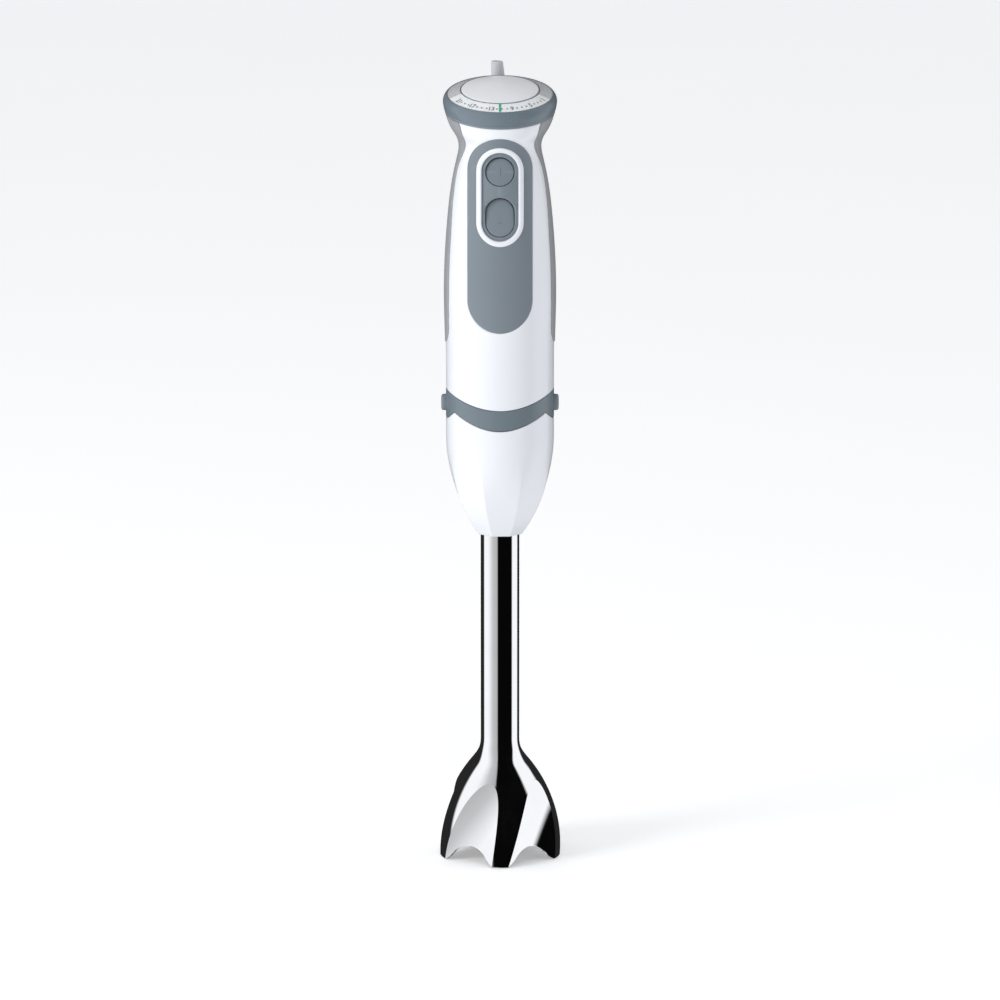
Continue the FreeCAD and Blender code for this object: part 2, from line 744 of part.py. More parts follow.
def adaptor_shell():
    outside = turned("adaptor_outside", [
        (d.tube_radius, d.adaptor_bottom), (d.adaptor_bottom_radius, d.adaptor_bottom, adaptor_arc, 1),
        (d.handle_radius, d.adaptor_shoulder), (d.handle_radius, d.upper_wave_top),
        (d.tube_radius, d.upper_wave_top)])
    inner_arc = adaptor_arc - d.plastic_wall
    rise = d.adaptor_shoulder - d.adaptor_collar_top
    floor_radius = d.handle_radius - adaptor_arc + root(inner_arc * inner_arc - rise * rise)
    hollow = turned("adaptor_hollow", [
        (0, d.adaptor_collar_top), (floor_radius, d.adaptor_collar_top, inner_arc, 1),
        (d.handle_radius - d.plastic_wall, d.adaptor_shoulder),
        (d.handle_radius - d.plastic_wall, d.upper_wave_top + 1), (0, d.upper_wave_top + 1)])
    body = cut("adaptor_body", outside, hollow)
    bosses = around("adaptor_boss", 3, d.screw_circle.value, screw_boss, 90)
    filled = common("adaptor_bosses_inside", fuse("adaptor_bosses", *bosses), outside)
    holes = around("adaptor_hole", 3, d.screw_circle.value, screw_hole, 90)
    groove = ring("seal_groove", d.tube_radius, d.tube_radius + 2 * d.oring_radius,
                  seal_level - d.oring_radius, seal_level + d.oring_radius)
    whole = cut("adaptor_drilled", fuse("adaptor_full", body, filled), groove, *holes)
    trimmed = common("adaptor_trimmed", whole, rim_wave_with_base())
    return cut("adaptor_shell", trimmed, rim_tab)


def rim_wave_with_base():
    """Everything under the adaptor's waved rim."""
    base = block("below_wave", (-CLEAR, CLEAR), (-CLEAR, CLEAR),
                 (d.adaptor_bottom - 1, d.adaptor_shoulder - 10))
    return fuse("under_rim", base, rim_wave)


def adaptor_neck():
    hub = ring("neck_hub", d.bush_radius, tube_inside, d.hub_bottom, d.flange_bottom)
    flange = ring("neck_flange", d.bush_radius, d.flange_radius, d.flange_bottom, d.flange_bottom + d.flange_thickness)
    neck = ring("neck_ring", d.neck_radius - d.neck_wall, d.neck_radius, d.flange_bottom, d.neck_top)
    half = d.hook_width / 2 + 2 * d.part_gap
    windows = block("neck_windows", (-CLEAR, CLEAR), (-half, half),
                    (d.hook_nose_bottom - 2 * d.part_gap, d.hook_nose_top + 2 * d.part_gap))
    holes = around("neck_hole", 3, d.screw_circle.value, screw_hole, 90)
    return cut("adaptor_neck", fuse("neck_whole", hub, flange, neck), windows, *holes)


node(adaptor_shell())
node(adaptor_neck())
node(group("neck_screws", *around("neck_screw", 3, d.screw_circle.value, screw, 90)))
seal_ring = doc.addObject("Part::Torus", "tube_seal")
bind(seal_ring, Radius1=d.tube_radius + d.oring_radius, Radius2=d.oring_radius)
node(place(seal_ring, z=seal_level))


# ---------------------------------------------------------------- drive line

def star(name, grow, bottom, top):
    """The six-armed drive star, or with an allowance the hole that takes it."""
    core = rod(name + "_core", d.star_core_radius + grow, top - bottom, z=bottom)
    half = d.star_arm_width / 2 + grow
    bars = [block("%s_bar_%d" % (name, number), (-(d.star_radius + grow), d.star_radius + grow),
                  (-half, half), (bottom, top)) for number in range(3)]
    for number, bar in enumerate(bars):
        arm = doc.addObject("Part::Compound", "%s_arm_%d" % (name, number))
        arm.Links = [bar]
        arm.Placement = Placement(Vector(), Rotation(TO_Z, 60 * number))
        bars[number] = arm
    return fuse(name, core, *bars)


def blade():
    """Two wings on one boss plate, one angled up and one down, with ground tips."""
    plate = block("blade_plate", (-d.blade_width / 2, d.blade_width / 2), (-d.blade_bend, d.blade_bend),
                  (d.blade_level, d.blade_level + d.blade_thickness))
    wings = []
    for side, turn in ((1, 0), (-1, 180)):
        wing = block("blade_wing_%d" % (turn + 1), (-d.blade_width / 2, d.blade_width / 2),
                     (-0.3, d.blade_reach - d.blade_bend + 2), (0, d.blade_thickness))
        raised = doc.addObject("Part::Compound", "blade_raised_%d" % (turn + 1))
        raised.Links = [wing]
        turned_wing = Rotation(TO_Z, turn).multiply(Rotation(TO_X, side * d.blade_rise.value))
        bend = Rotation(TO_Z, turn).multVec(Vector(0, d.blade_bend.value, 0))
        raised.Placement = Placement(bend + Vector(0, 0, d.blade_level.value), turned_wing)
        wings.append(raised)
    disc = rod("blade_outline", d.blade_reach, 4 * d.blade_width, z=d.blade_level - 2 * d.blade_width)
    trimmed = common("blade_wings", fuse("blade_pair", *wings), disc)
    bore = rod("blade_bore", d.shaft_radius, CLEAR, z=0)
    return cut("blade", fuse("blade_whole", plate, trimmed), bore)


def shaft_clips():
    clips = []
    for number, height in enumerate((d.lower_bush_bottom + d.lower_bush_length + 0.2,
                                     d.upper_bush_bottom + d.upper_bush_length + 0.2), start=1):
        clips.append(ring("clip_%d" % number, d.shaft_radius, d.clip_radius, height, height + d.clip_thickness))
    return group("shaft_clips", *clips)


blade_top = d.blade_level + d.blade_thickness
node(turned("drive_shaft", [
    (0, d.shaft_bottom), (d.shaft_radius - 0.6, d.shaft_bottom), (d.shaft_radius, d.shaft_bottom + 0.6),
    (d.shaft_radius, d.driven_bottom + 6), (0, d.driven_bottom + 6)]))
node(blade())
node(turned("blade_hub", [
    (d.shaft_radius, blade_top), (d.blade_hub_radius, blade_top), (d.blade_hub_radius, blade_top + 4),
    (d.shaft_radius + 1.3, blade_top + d.blade_hub_height), (d.shaft_radius, blade_top + d.blade_hub_height)]))
node(turned("blade_nut", [
    (d.shaft_radius, d.blade_level - d.nut_height), (d.nut_radius - 0.8, d.blade_level - d.nut_height),
    (d.nut_radius, d.blade_level - d.nut_height + 0.8), (d.nut_radius, d.blade_level),
    (d.shaft_radius, d.blade_level)]))
node(shaft_clips())
driven_base = ring("driven_base", 0, d.star_radius, d.driven_bottom, d.driven_bottom + 5)
driven_star = star("driven_star", 0, d.driven_bottom, d.driven_top)
shaft_socket = rod("shaft_socket", d.shaft_radius, 6, z=d.driven_bottom)
node(cut("driven_coupling", fuse("driven_whole", driven_base, driven_star), shaft_socket))


# ---------------------------------------------------------------- motor unit: coupling end

def coupling_band():
    hoop = ring("band_hoop", d.handle_radius - d.plastic_wall, d.handle_radius,
                d.adaptor_shoulder, d.upper_wave_top + 1)
    waved = common("band_waved", hoop, upper_wave)
    under = cut("band_under", band_lower_wave, band_tab)
    holes = rod("band_button_holes", d.release_radius + d.part_gap, 2 * CLEAR,
                x=-CLEAR, z=d.release_height, axis=TO_Y, angle=90)
    return cut("coupling_band", waved, under, holes)


def coupling_socket():
    floor_bottom = d.socket_top - d.socket_floor
    inside = d.socket_radius - d.socket_wall
    shell = turned("socket_shell", [
        (inside, d.socket_bottom), (d.socket_radius, d.socket_bottom),
        (d.socket_radius, d.socket_flange_bottom), (d.socket_flange_radius, d.socket_flange_bottom),
        (d.socket_flange_radius, d.socket_top), (d.driving_radius + 0.8, d.socket_top),
        (d.driving_radius + 0.8, floor_bottom), (inside, floor_bottom)])
    arms = block("socket_arm_ways", (-(d.socket_radius + 1), d.socket_radius + 1),
                 (-(d.hook_width / 2 + d.part_gap), d.hook_width / 2 + d.part_gap),
                 (d.hook_arm_bottom - 0.6, d.socket_flange_bottom - 0.6))
    keep = rod("socket_core", d.hook_leg_inner - d.button_travel - 1.2, CLEAR, z=d.socket_bottom)
    return cut("coupling_socket", shell, cut("socket_ways", arms, keep))


node(coupling_band())
node(coupling_socket())


def release_button():
    """Right-hand release button with its latch hook; it slides along X."""
    cap = turned("release_cap", [
        (0, d.release_pocket), (d.release_radius - 1, d.release_pocket),
        (d.release_radius - 1, d.release_shoulder - d.release_shoulder_thickness),
        (d.release_shoulder_radius, d.release_shoulder - d.release_shoulder_thickness),
        (d.release_shoulder_radius, d.release_shoulder), (d.release_radius, d.release_shoulder),
        (d.release_radius, d.release_face - 0.8), (d.release_radius - 0.8, d.release_face),
        (0, d.release_face)], z=d.release_height, axis=TO_Y, angle=90)
    half = d.hook_width / 2
    shoulder_inner = d.release_shoulder - d.release_shoulder_thickness
    post = block("hook_post", (shoulder_inner, d.release_shoulder), (-half, half),
                 (d.release_height + d.release_radius, d.hook_arm_top))
    arm = block("hook_arm", (d.hook_leg_inner, d.release_shoulder), (-half, half),
                (d.hook_arm_bottom, d.hook_arm_top))
    leg = block("hook_leg", (d.hook_leg_inner, d.hook_leg_outer), (-half, half),
                (d.hook_leg_bottom, d.hook_arm_top))
    nose = block("hook_nose", (d.hook_leg_inner, d.hook_nose), (-half, half),
                 (d.hook_nose_bottom, d.hook_nose_top))
    return fuse("release_button_right", cap, post, arm, leg, nose)


release_right = node(release_button())
node(mirrored("release_button_left", release_right))
release_coil = node(coil("release_spring_right", 2.3, 0.25, 1.2, d.release_pocket - d.socket_radius,
                         x=d.socket_radius, z=d.release_height, axis=TO_Y, angle=90))
node(mirrored("release_spring_left", release_coil))


# ---------------------------------------------------------------- motor

def motor_plate():
    """Lower end plate, with the boss of the lower bearing."""
    top = d.lower_bearing_bottom + d.bearing_height
    boss = d.bearing_radius + d.bracket_boss_wall
    plate_top = d.lower_plate_bottom + d.lower_plate_thickness
    plate = turned("plate_disc", [
        (d.bearing_radius - 1.5, d.lower_plate_bottom), (d.stator_radius, d.lower_plate_bottom),
        (d.stator_radius, plate_top), (boss, plate_top), (boss, top), (d.bearing_radius, top),
        (d.bearing_radius, d.lower_bearing_bottom), (d.bearing_radius - 1.5, d.lower_bearing_bottom)])
    legs = around("plate_leg", 4, 1, plate_leg, 45)
    return fuse("lower_bracket", plate, *legs)


def plate_leg(name, x, y):
    middle = d.stator_radius + d.plate_leg_radius / 2
    return rod(name, d.plate_leg_radius, d.stack_bottom - d.lower_plate_bottom, x=middle * x, y=middle * y,
               z=d.lower_plate_bottom)


def yoke():
    """Upper bearing bridge, standing on the stator."""
    top = d.yoke_bottom + d.yoke_thickness
    half = d.yoke_depth / 2
    stack_top = d.stack_bottom + d.stack_height
    legs = [block("yoke_leg_%d" % number, limits, (-half, half), (stack_top, top))
            for number, limits in ((1, (d.yoke_leg_inner, d.yoke_leg_outer)),
                                   (2, (-d.yoke_leg_outer, -d.yoke_leg_inner)))]
    bar = block("yoke_bar", (-d.yoke_leg_outer, d.yoke_leg_outer), (-half, half), (d.yoke_bottom, top))
    boss = rod("yoke_boss", d.bearing_radius + d.bracket_boss_wall,
               d.upper_bearing_bottom + d.bearing_height - d.yoke_bottom, z=d.yoke_bottom)
    seat = rod("yoke_seat", d.bearing_radius, CLEAR, z=d.upper_bearing_bottom)
    hole = rod("yoke_hole", d.bearing_radius - 1.5, CLEAR, z=d.yoke_bottom - 1)
    return cut("upper_bracket", fuse("yoke_whole", bar, boss, *legs), seat, hole)


def bearing(name, bottom):
    return ring(name, d.shaft_radius + d.running_gap, d.bearing_radius, bottom, bottom + d.bearing_height)


def stator_core():
    stack = ring("stator_stack", d.stator_bore, d.stator_radius, d.stack_bottom, d.stack_bottom + d.stack_height)
    slots = []
    for side in (1, -1):
        for front in (1, -1):
            slot = block("stator_slot_%d" % len(slots), (0, d.stator_slot_width), (0, d.stator_slot_depth),
                         (0, CLEAR))
            place(slot, side * d.stator_slot_x - d.stator_slot_width / 2,
                  front * d.stator_slot_y - d.stator_slot_depth / 2, d.stack_bottom - 1)
            slots.append(slot)
    bolt_ways = bolt_circle("bolt_way", lambda name, x, y: rod(
        name, d.bolt_radius, CLEAR, x=x, y=y, z=d.stack_bottom + 2))
    return cut("stator_core", stack, *slots, *bolt_ways)


def bolt_circle(name, make):
    """Four long screws, in pairs left and right of the poles."""
    circle, turn = d.bolt_circle.value, d.bolt_turn.value
    return around(name + "_a", 2, circle, make, turn) + around(name + "_b", 2, circle, make, 180 - turn)


def field_coils():
    """Two windings, one round each pole, with their bundled ends above and below the stack."""
    coils = []
    for front in (1, -1):
        name = "coil_%s" % ("rear" if front > 0 else "front")
        hoop = ring(name + "_hoop", d.stator_bore + 0.6, d.coil_radius,
                    d.stack_bottom - d.coil_overhang, d.stack_bottom + d.stack_height + d.coil_overhang)
        depth = (d.coil_inner, CLEAR) if front > 0 else (-CLEAR, -d.coil_inner)
        half_space = block(name + "_half", (-d.coil_half_width, d.coil_half_width), depth, (0, 10 * CLEAR))
        ends = common(name + "_shape", hoop, half_space)
        core = ring(name + "_core", 0, d.coil_radius + 1, d.stack_bottom, d.stack_bottom + d.stack_height)
        coils.append(cut(name, ends, core))
    return group("field_coils", *coils)


def brush_gear(name, inner, outer, grow, length_from, length_to):
    pieces = []
    for side in (1, -1):
        limits = (length_from, length_to) if side > 0 else (-length_to, -length_from)
        pieces.append(block("%s_%s" % (name, "right" if side > 0 else "left"), limits,
                            (-(inner / 2 + grow), inner / 2 + grow),
                            (d.brush_height - outer / 2 - grow, d.brush_height + outer / 2 + grow)))
    return pieces


def brush_holders():
    outside = brush_gear("holder", d.brush_width, d.brush_thickness, d.holder_wall,
                         d.commutator_radius + 1.4, d.holder_end)
    inside = brush_gear("holder_hollow", d.brush_width, d.brush_thickness, 0,
                        d.commutator_radius, d.holder_end - 0.8)
    return group("brush_holders", *[cut("holder_box_%d" % number, shell, hollow)
                                    for number, (shell, hollow) in enumerate(zip(outside, inside))])


def brushes():
    wear = rod("brush_wear", d.commutator_radius + d.running_gap, CLEAR, z=d.brush_height - CLEAR / 2)
    blocks = brush_gear("brush", d.brush_width, d.brush_thickness, 0,
                        d.commutator_radius - 1.5, d.commutator_radius + 0.05 + d.brush_length)
    return group("carbon_brushes", *[cut("brush_%d" % number, block_, wear)
                                     for number, block_ in enumerate(blocks)])


def brush_springs():
    start = d.commutator_radius + 0.05 + d.brush_length
    right = coil("brush_spring_right", 1.5, 0.2, 0.5, d.holder_end - 0.8 - start,
                 x=start, z=d.brush_height, axis=TO_Y, angle=90)
    return group("brush_springs", right, mirrored("brush_spring_left", right))


def motor_screw(name, x, y):
    head = rod(name + "_head", d.bolt_head_radius, d.bolt_head_height,
               x=x, y=y, z=d.stack_bottom + d.stack_height)
    shank = rod(name + "_shank", d.bolt_radius, d.stack_height - 2, x=x, y=y, z=d.stack_bottom + 2)
    return fuse(name, head, shank)


node(ring("damping_ring", d.damping_ring_inner, d.stator_radius - 0.5, d.socket_top, d.lower_plate_bottom))
node(motor_plate())
node(yoke())
node(bearing("lower_bearing", d.lower_bearing_bottom))
node(bearing("upper_bearing", d.upper_bearing_bottom))
node(stator_core())
node(group("motor_screws", *bolt_circle("motor_screw", motor_screw)))
node(field_coils())
node(brush_holders())
node(brushes())
node(brush_springs())


# ---------------------------------------------------------------- rotor

slot_count = int(d.rotor_slots.value)


def rotor_core():
    stack = ring("rotor_stack", d.shaft_radius, d.rotor_radius, d.stack_bottom, d.stack_bottom + d.stack_height)
    slots = around("rotor_slot", slot_count, d.rotor_slot_circle.value, lambda name, x, y: rod(
        name, d.rotor_slot_radius, CLEAR, x=x, y=y, z=d.stack_bottom - 1))
    return cut("rotor_core", stack, *slots)


def rotor_windings():
    """Copper in the slots, and the end turns above and below the stack."""
    low, high = d.stack_bottom, d.stack_bottom + d.stack_height
    ends = [turned("winding_low", [(d.shaft_radius + 0.4, low - d.winding_overhang),
                                   (d.rotor_radius - 3, low - d.winding_overhang),
                                   (d.rotor_radius - 1, low - 2), (d.rotor_radius - 1, low),
                                   (d.shaft_radius + 0.4, low)]),
            turned("winding_high", [(d.shaft_radius + 0.4, high), (d.rotor_radius - 1, high),
                                    (d.rotor_radius - 1, high + 2),
                                    (d.rotor_radius - 3, high + d.winding_overhang),
                                    (d.shaft_radius + 0.4, high + d.winding_overhang)])]
    wires = around("slot_copper", slot_count, d.rotor_slot_circle.value, lambda name, x, y: rod(
        name, d.rotor_slot_radius, d.stack_height, x=x, y=y, z=d.stack_bottom))
    return fuse("rotor_windings", *(ends + wires))


def fan_blade(name, x, y):
    angle = math.degrees(math.atan2(y, x))
    blade_box = doc.addObject("Part::Box", name)
    bind(blade_box, Length=d.fan_radius - d.fan_hub_radius, Width=d.fan_sheet, Height=d.fan_height)
    start = d.fan_hub_radius.value - 1
    blade_box.Placement = Placement(Vector(start * x, start * y, d.fan_bottom.value), Rotation(TO_Z, angle))
    blade_box.setExpression("Placement.Base.z", d.fan_bottom.text)
    return blade_box


def cooling_fan():
    disc = ring("fan_disc", d.shaft_radius, d.fan_radius, d.fan_bottom, d.fan_bottom + d.fan_sheet)
    hub = ring("fan_hub", d.shaft_radius, d.fan_hub_radius, d.fan_bottom, d.fan_bottom + d.fan_height)
    vanes = around("fan_vane", int(d.fan_blades.value), 1, fan_blade)
    return fuse("cooling_fan", disc, hub, *vanes)


def commutator():
    drum = turned("commutator_drum", [
        (d.shaft_radius, d.commutator_bottom), (d.commutator_radius + 1, d.commutator_bottom),
        (d.commutator_radius + 1, d.commutator_bottom + 1.4), (d.commutator_radius, d.commutator_bottom + 1.4),
        (d.commutator_radius, d.commutator_bottom + d.commutator_height),
        (d.shaft_radius, d.commutator_bottom + d.commutator_height)])
    grooves = []
    for number in range(slot_count):
        groove = doc.addObject("Part::Box", "commutator_groove_%d" % number)
        bind(groove, Length=1.5, Width=0.4, Height=d.commutator_height)
        turn = Rotation(TO_Z, 360 * (number + 0.5) / slot_count)
        groove.Placement = Placement(turn.multVec(Vector(d.commutator_radius.value - 0.7, -0.2, 0)), turn)
        groove.setExpression("Placement.Base.z", (d.commutator_bottom + 1.4).text)
        grooves.append(groove)
    return cut("commutator", drum, *grooves)


node(ring("rotor_shaft", 0, d.shaft_radius, d.rotor_shaft_bottom, d.rotor_shaft_top))
node(rotor_core())
node(rotor_windings())
node(commutator())
node(cooling_fan())
drive_cup = turned("drive_cup", [
    (0, d.driving_bottom), (d.driving_radius, d.driving_bottom), (d.driving_radius, d.driving_top - 2),
    (d.driving_radius - 1.5, d.driving_top), (0, d.driving_top)])
cup_hole = star("cup_hole", d.part_gap, d.driving_bottom - 1, d.driving_floor)
cup_bore = rod("cup_bore", d.shaft_radius, CLEAR, z=d.rotor_shaft_bottom)
node(cut("drive_coupling", drive_cup, cup_hole, cup_bore))


# ---------------------------------------------------------------- motor unit: handle

grip_form = grip_region()


def spout():
    """The raised cord outlet that grows out of the back of the grip."""
    stations = []
    levels = [(d.spout1_setback, d.spout1_height, d.spout1_radius),
              (d.spout2_setback, d.spout2_height, d.spout2_radius),
              (d.spout3_setback, d.spout3_height, d.spout3_radius),
              (d.spout_setback, d.spout_top - 6, d.spout_radius),
              (d.spout_setback, d.spout_top, d.spout_radius)]
    for number, (setback, height, radius) in enumerate(levels, start=1):
        station = bind(doc.addObject("Part::Circle", "spout_%d" % number), Radius=radius)
        stations.append(place(station, y=setback, z=height))
    loft = doc.addObject("Part::Loft", "spout_form")
    loft.Sections = stations
    loft.Solid = True
    return cut("spout", loft, inlay_skin)


cord_way = rod("cord_way", d.relief_bore, 32, y=14, z=352, axis=TO_X, angle=-35)
relief_seat = rod("relief_seat", d.spout_radius - d.spout_wall, CLEAR, y=d.spout_setback, z=d.spout_top - 8)


def main_housing():
    panel_recess = cut("panel_recess", panel_form, inlay_skin)
    grip_recess = cut("grip_recess", grip_form, inlay_skin)
    shell = cut("housing_shell", skin, inner_skin)
    return cut("main_housing", shell, upper_wave, panel_recess, grip_recess, bezel_form, cord_way)


def rear_grip():
    layer = common("grip_layer", grip_form, cut("grip_layers", grip_skin, inlay_skin))
    trimmed = cut("grip_trimmed", layer, upper_wave)
    return cut("rear_grip", fuse("grip_whole", trimmed, spout()), cord_way, relief_seat)


def front_panel():
    layer = common("panel_layer", panel_form, cut("panel_layers", skin, inlay_skin))
    return cut("front_panel", layer, bezel_form)


def button_bezel():
    hoop = cut("bezel_hoop", bezel_form, window_form)
    return common("button_bezel", hoop, cut("bezel_layers", bezel_skin, bezel_floor_skin))


def button_place(kind):
    """Where a button's local datum lies: behind its face, along its own axis."""
    height, setback, lean = [getattr(d, "%s_%s" % (kind, key)) for key in ("height", "setback", "lean")]
    return {"y": d.button_datum * cosine(lean) - setback, "z": height - d.button_datum * sine(lean),
            "axis": TO_X, "angle": 90 - lean}


def oblong(name, radius, straight, low, high):
    """An upright round-ended prism along the local Z axis, or a cylinder if it isn't straight."""
    if not size(straight).value:
        return rod(name, radius, size(high) - low, z=low)
    half = size(straight) / 2
    middle = block(name + "_middle", (-radius, radius), (-half, half), (low, high))
    ends = [rod(name + end, radius, size(high) - low, y=y, z=low) for end, y in (("_a", half), ("_b", -half))]
    return fuse(name, middle, *ends)


def moved(name, piece, spot):
    """Carries a piece drawn in a local frame to its place."""
    carried = doc.addObject("Part::Compound", name)
    carried.Links = [piece]
    return place(carried, **spot)


def push_button(kind, straight):
    """Cap, two retaining tabs above and below it, and the stem that presses the switch."""
    radius = d.button_hole_radius - d.button_gap
    cap_low = d.button_datum - d.button_cap
    cap = oblong(kind + "_cap", radius, straight, cap_low, d.button_datum)
    reach = d.button_hole_radius + d.button_tab + size(straight) / 2
    tabs = block(kind + "_tabs", (-d.button_tab_width / 2, d.button_tab_width / 2), (-reach, reach),
                 (cap_low, cap_low + d.button_tab_thickness))
    lean = getattr(d, kind + "_lean")
    depth = (getattr(d, kind + "_setback") - d.board_front - d.switch_height) / cosine(lean)
    stem_low = d.button_datum - depth + d.button_travel + 0.2
    stem = rod(kind + "_stem", d.button_stem, d.button_datum - 1 - stem_low, z=stem_low)
    return moved(kind + "_button", fuse(kind + "_whole", cap, tabs, stem), button_place(kind))


def button_spring(kind):
    lean = getattr(d, kind + "_lean")
    depth = (getattr(d, kind + "_setback") - d.board_front) / cosine(lean)
    low = d.button_datum - depth + d.button_spring_radius * sine(lean) + 0.25
    local = button_place(kind)
    high = d.button_datum - d.button_cap
    spot = dict(local, y=local["y"] - low * cosine(lean), z=local["z"] + low * sine(lean))
    return coil(kind + "_spring", d.button_spring_radius, 0.2, 0.9, high - low, **spot)


def button_plate():
    layer = common("plate_layer", window_form, cut("plate_layers", plate_skin, plate_floor_skin))
    holes = [moved(kind + "_hole", oblong(kind + "_hole_form", d.button_hole_radius, straight, 0, CLEAR),
                   button_place(kind)) for kind, straight in (("on", 0), ("turbo", d.turbo_straight))]
    middle = (d.on_height + d.turbo_height) / 2 + 1.2
    posts = [rod("plate_post_%d" % number, 1.1, CLEAR, x=x, y=-d.board_front, z=middle, axis=TO_X, angle=90)
             for number, x in ((1, -6.4), (2, 6.4))]
    inner_posts = common("plate_posts", fuse("plate_post_pair", *posts), plate_skin)
    return fuse("button_plate", cut("plate_cut", layer, *holes), inner_posts)


def board_parts():
    back = d.board_thickness - d.board_front
    capacitor = rod("capacitor", 4.2, 14, x=-7, y=back + 4.2, z=d.board_top - 8, axis=TO_Y, angle=90)
    choke = block("choke", (3, 9), (back, back + 2.8), (d.board_bottom + 3, d.board_bottom + 13))
    triac = block("triac", (-9, -4), (back, back + 2.6), (d.board_bottom + 3, d.board_bottom + 11))
    return group("board_parts", capacitor, choke, triac)


def switches():
    pieces = []
    for kind in ("on", "turbo"):
        lean = getattr(d, kind + "_lean")
        drop = (getattr(d, kind + "_setback") - d.board_front) * sine(lean) / cosine(lean)
        height = getattr(d, kind + "_height") - drop
        can = rod(kind + "_switch_can", d.switch_radius, d.switch_height - 0.6,
                  y=-d.board_front, z=height, axis=TO_X, angle=90)
        plunger = rod(kind + "_switch_plunger", 1, d.switch_height, y=-d.board_front, z=height,
                      axis=TO_X, angle=90)
        pieces.append(fuse(kind + "_switch", can, plunger))
    return group("micro_switches", *pieces)


node(main_housing())
node(rear_grip())
node(front_panel())
node(button_bezel())
node(button_plate())
node(block("control_board", (-d.board_half_width, d.board_half_width),
           (-d.board_front, d.board_thickness - d.board_front), (d.board_bottom, d.board_top)))
node(board_parts())
node(switches())
clamp_bar = block("clamp_bar", (-d.clamp_half_width, d.clamp_half_width), (d.clamp_front, CLEAR),
                  (d.clamp_bottom, d.clamp_bottom + d.clamp_height))
clamp_way = rod("clamp_way", d.relief_bore, CLEAR, y=d.clamp_way, z=d.clamp_bottom - 20)
wall_cone = bind(doc.addObject("Part::Cone", "wall_cone"), Radius1=d.skin7_radius - d.plastic_wall,
                 Radius2=d.skin8_radius - d.plastic_wall, Height=d.skin8_height - d.skin7_height)
place(wall_cone, z=d.skin7_height)
node(cut("cord_clamp", common("clamp_fitted", clamp_bar, wall_cone), clamp_way))
node(turned("strain_relief", [
    (d.relief_bore, d.spout_top - 8), (d.spout_radius - d.spout_wall, d.spout_top - 8),
    (d.spout_radius - d.spout_wall, d.spout_top), (d.relief_base_radius, d.spout_top),
    (d.relief_top_radius, d.relief_top), (d.relief_bore, d.relief_top)], y=d.spout_setback))
node(push_button("on", 0))
node(push_button("turbo", d.turbo_straight))
node(button_spring("on"))
node(button_spring("turbo"))


# ---------------------------------------------------------------- speed dial

on_dial_axis = {"y": d.dial_datum * sine(d.dial_tilt), "z": d.dial_height - d.dial_datum * cosine(d.dial_tilt),
                "axis": TO_X, "angle": d.dial_tilt}
lip = d.dial_datum
lens_low = lip - d.lens_thickness
scale_low = lens_low - d.part_gap
scale_inner = d.cap_band_radius + d.part_gap
scale_outer = d.ring_inner_radius - d.part_gap
seat_top = lip - d.seat_level
seat_low = seat_top - d.seat_thickness

node(turned("dial_seat", [
    (d.spindle_radius + d.part_gap, seat_low), (d.seat_plug_radius - 1.5, seat_low),
    (d.seat_plug_radius - 1.5, seat_low - d.seat_plug_depth), (d.seat_plug_radius, seat_low - d.seat_plug_depth),
    (d.seat_plug_radius, seat_low), (d.seat_radius, seat_low), (d.seat_radius, seat_top),
    (d.spindle_radius + d.part_gap, seat_top)], **on_dial_axis))
node(turned("scale_disc", [
    (scale_inner, seat_top), (scale_inner + d.scale_post, seat_top),
    (scale_inner + d.scale_post, scale_low + d.lens_rise - 2 * d.scale_thickness),
    (scale_outer, scale_low - d.scale_thickness), (scale_outer, scale_low),
    (scale_inner, scale_low + d.lens_rise)], **on_dial_axis))
node(ring("speed_control", d.spindle_radius + d.running_gap, d.speed_control_radius,
          seat_low - d.speed_control_height, seat_low, **on_dial_axis))
cap_low = lip + d.lens_rise - d.cap_thickness
node(turned("dial_cap", [
    (0, seat_low - d.speed_control_height), (d.spindle_radius, seat_low - d.speed_control_height),
    (d.spindle_radius, cap_low), (d.cap_band_radius, cap_low), (d.cap_band_radius, lip + d.lens_rise),
    (d.cap_radius, lip + d.lens_rise,
     (d.cap_radius * d.cap_radius + d.cap_crown * d.cap_crown) / (2 * d.cap_crown), 1),
    (0, lip + d.lens_rise + d.cap_crown)], **on_dial_axis))
node(turned("dial_lens", [
    (d.cap_band_radius, lens_low + d.lens_rise), (d.ring_inner_radius, lens_low),
    (d.ring_inner_radius, lip), (d.cap_band_radius, lip + d.lens_rise)], **on_dial_axis))
node(turned("dial_grip_ring", [
    (d.ring_inner_radius, lip - d.ring_height), (d.ring_foot_radius, lip - d.ring_height),
    (d.ring_radius, lip - 3.2, 4, 1), (d.ring_lip_radius, lip), (d.ring_inner_radius, lip)], **on_dial_axis))


# ---------------------------------------------------------------- check and write

doc.recompute()
for thing in doc.Objects:
    faults = [state for state in thing.State if state in ("Invalid", "Error")]
    if faults:
        raise RuntimeError("%s failed: %s" % (thing.Name, faults))
for piece in nodes:
    if piece.Shape.isNull() or not piece.Shape.isValid() or not piece.Shape.Solids:
        raise RuntimeError("%s has no valid solid" % piece.Label)
os.makedirs("parts", exist_ok=True)
for piece in nodes:
    piece.Shape.exportStep("parts/%s.step" % piece.Label)
    print("%-22s %2d solids %9.1f mm3" % (piece.Label, len(piece.Shape.Solids), piece.Shape.Volume))
print(len(nodes), "nodes")
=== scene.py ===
import json
import math

import bpy
import numpy as np
from mathutils import Matrix, Vector


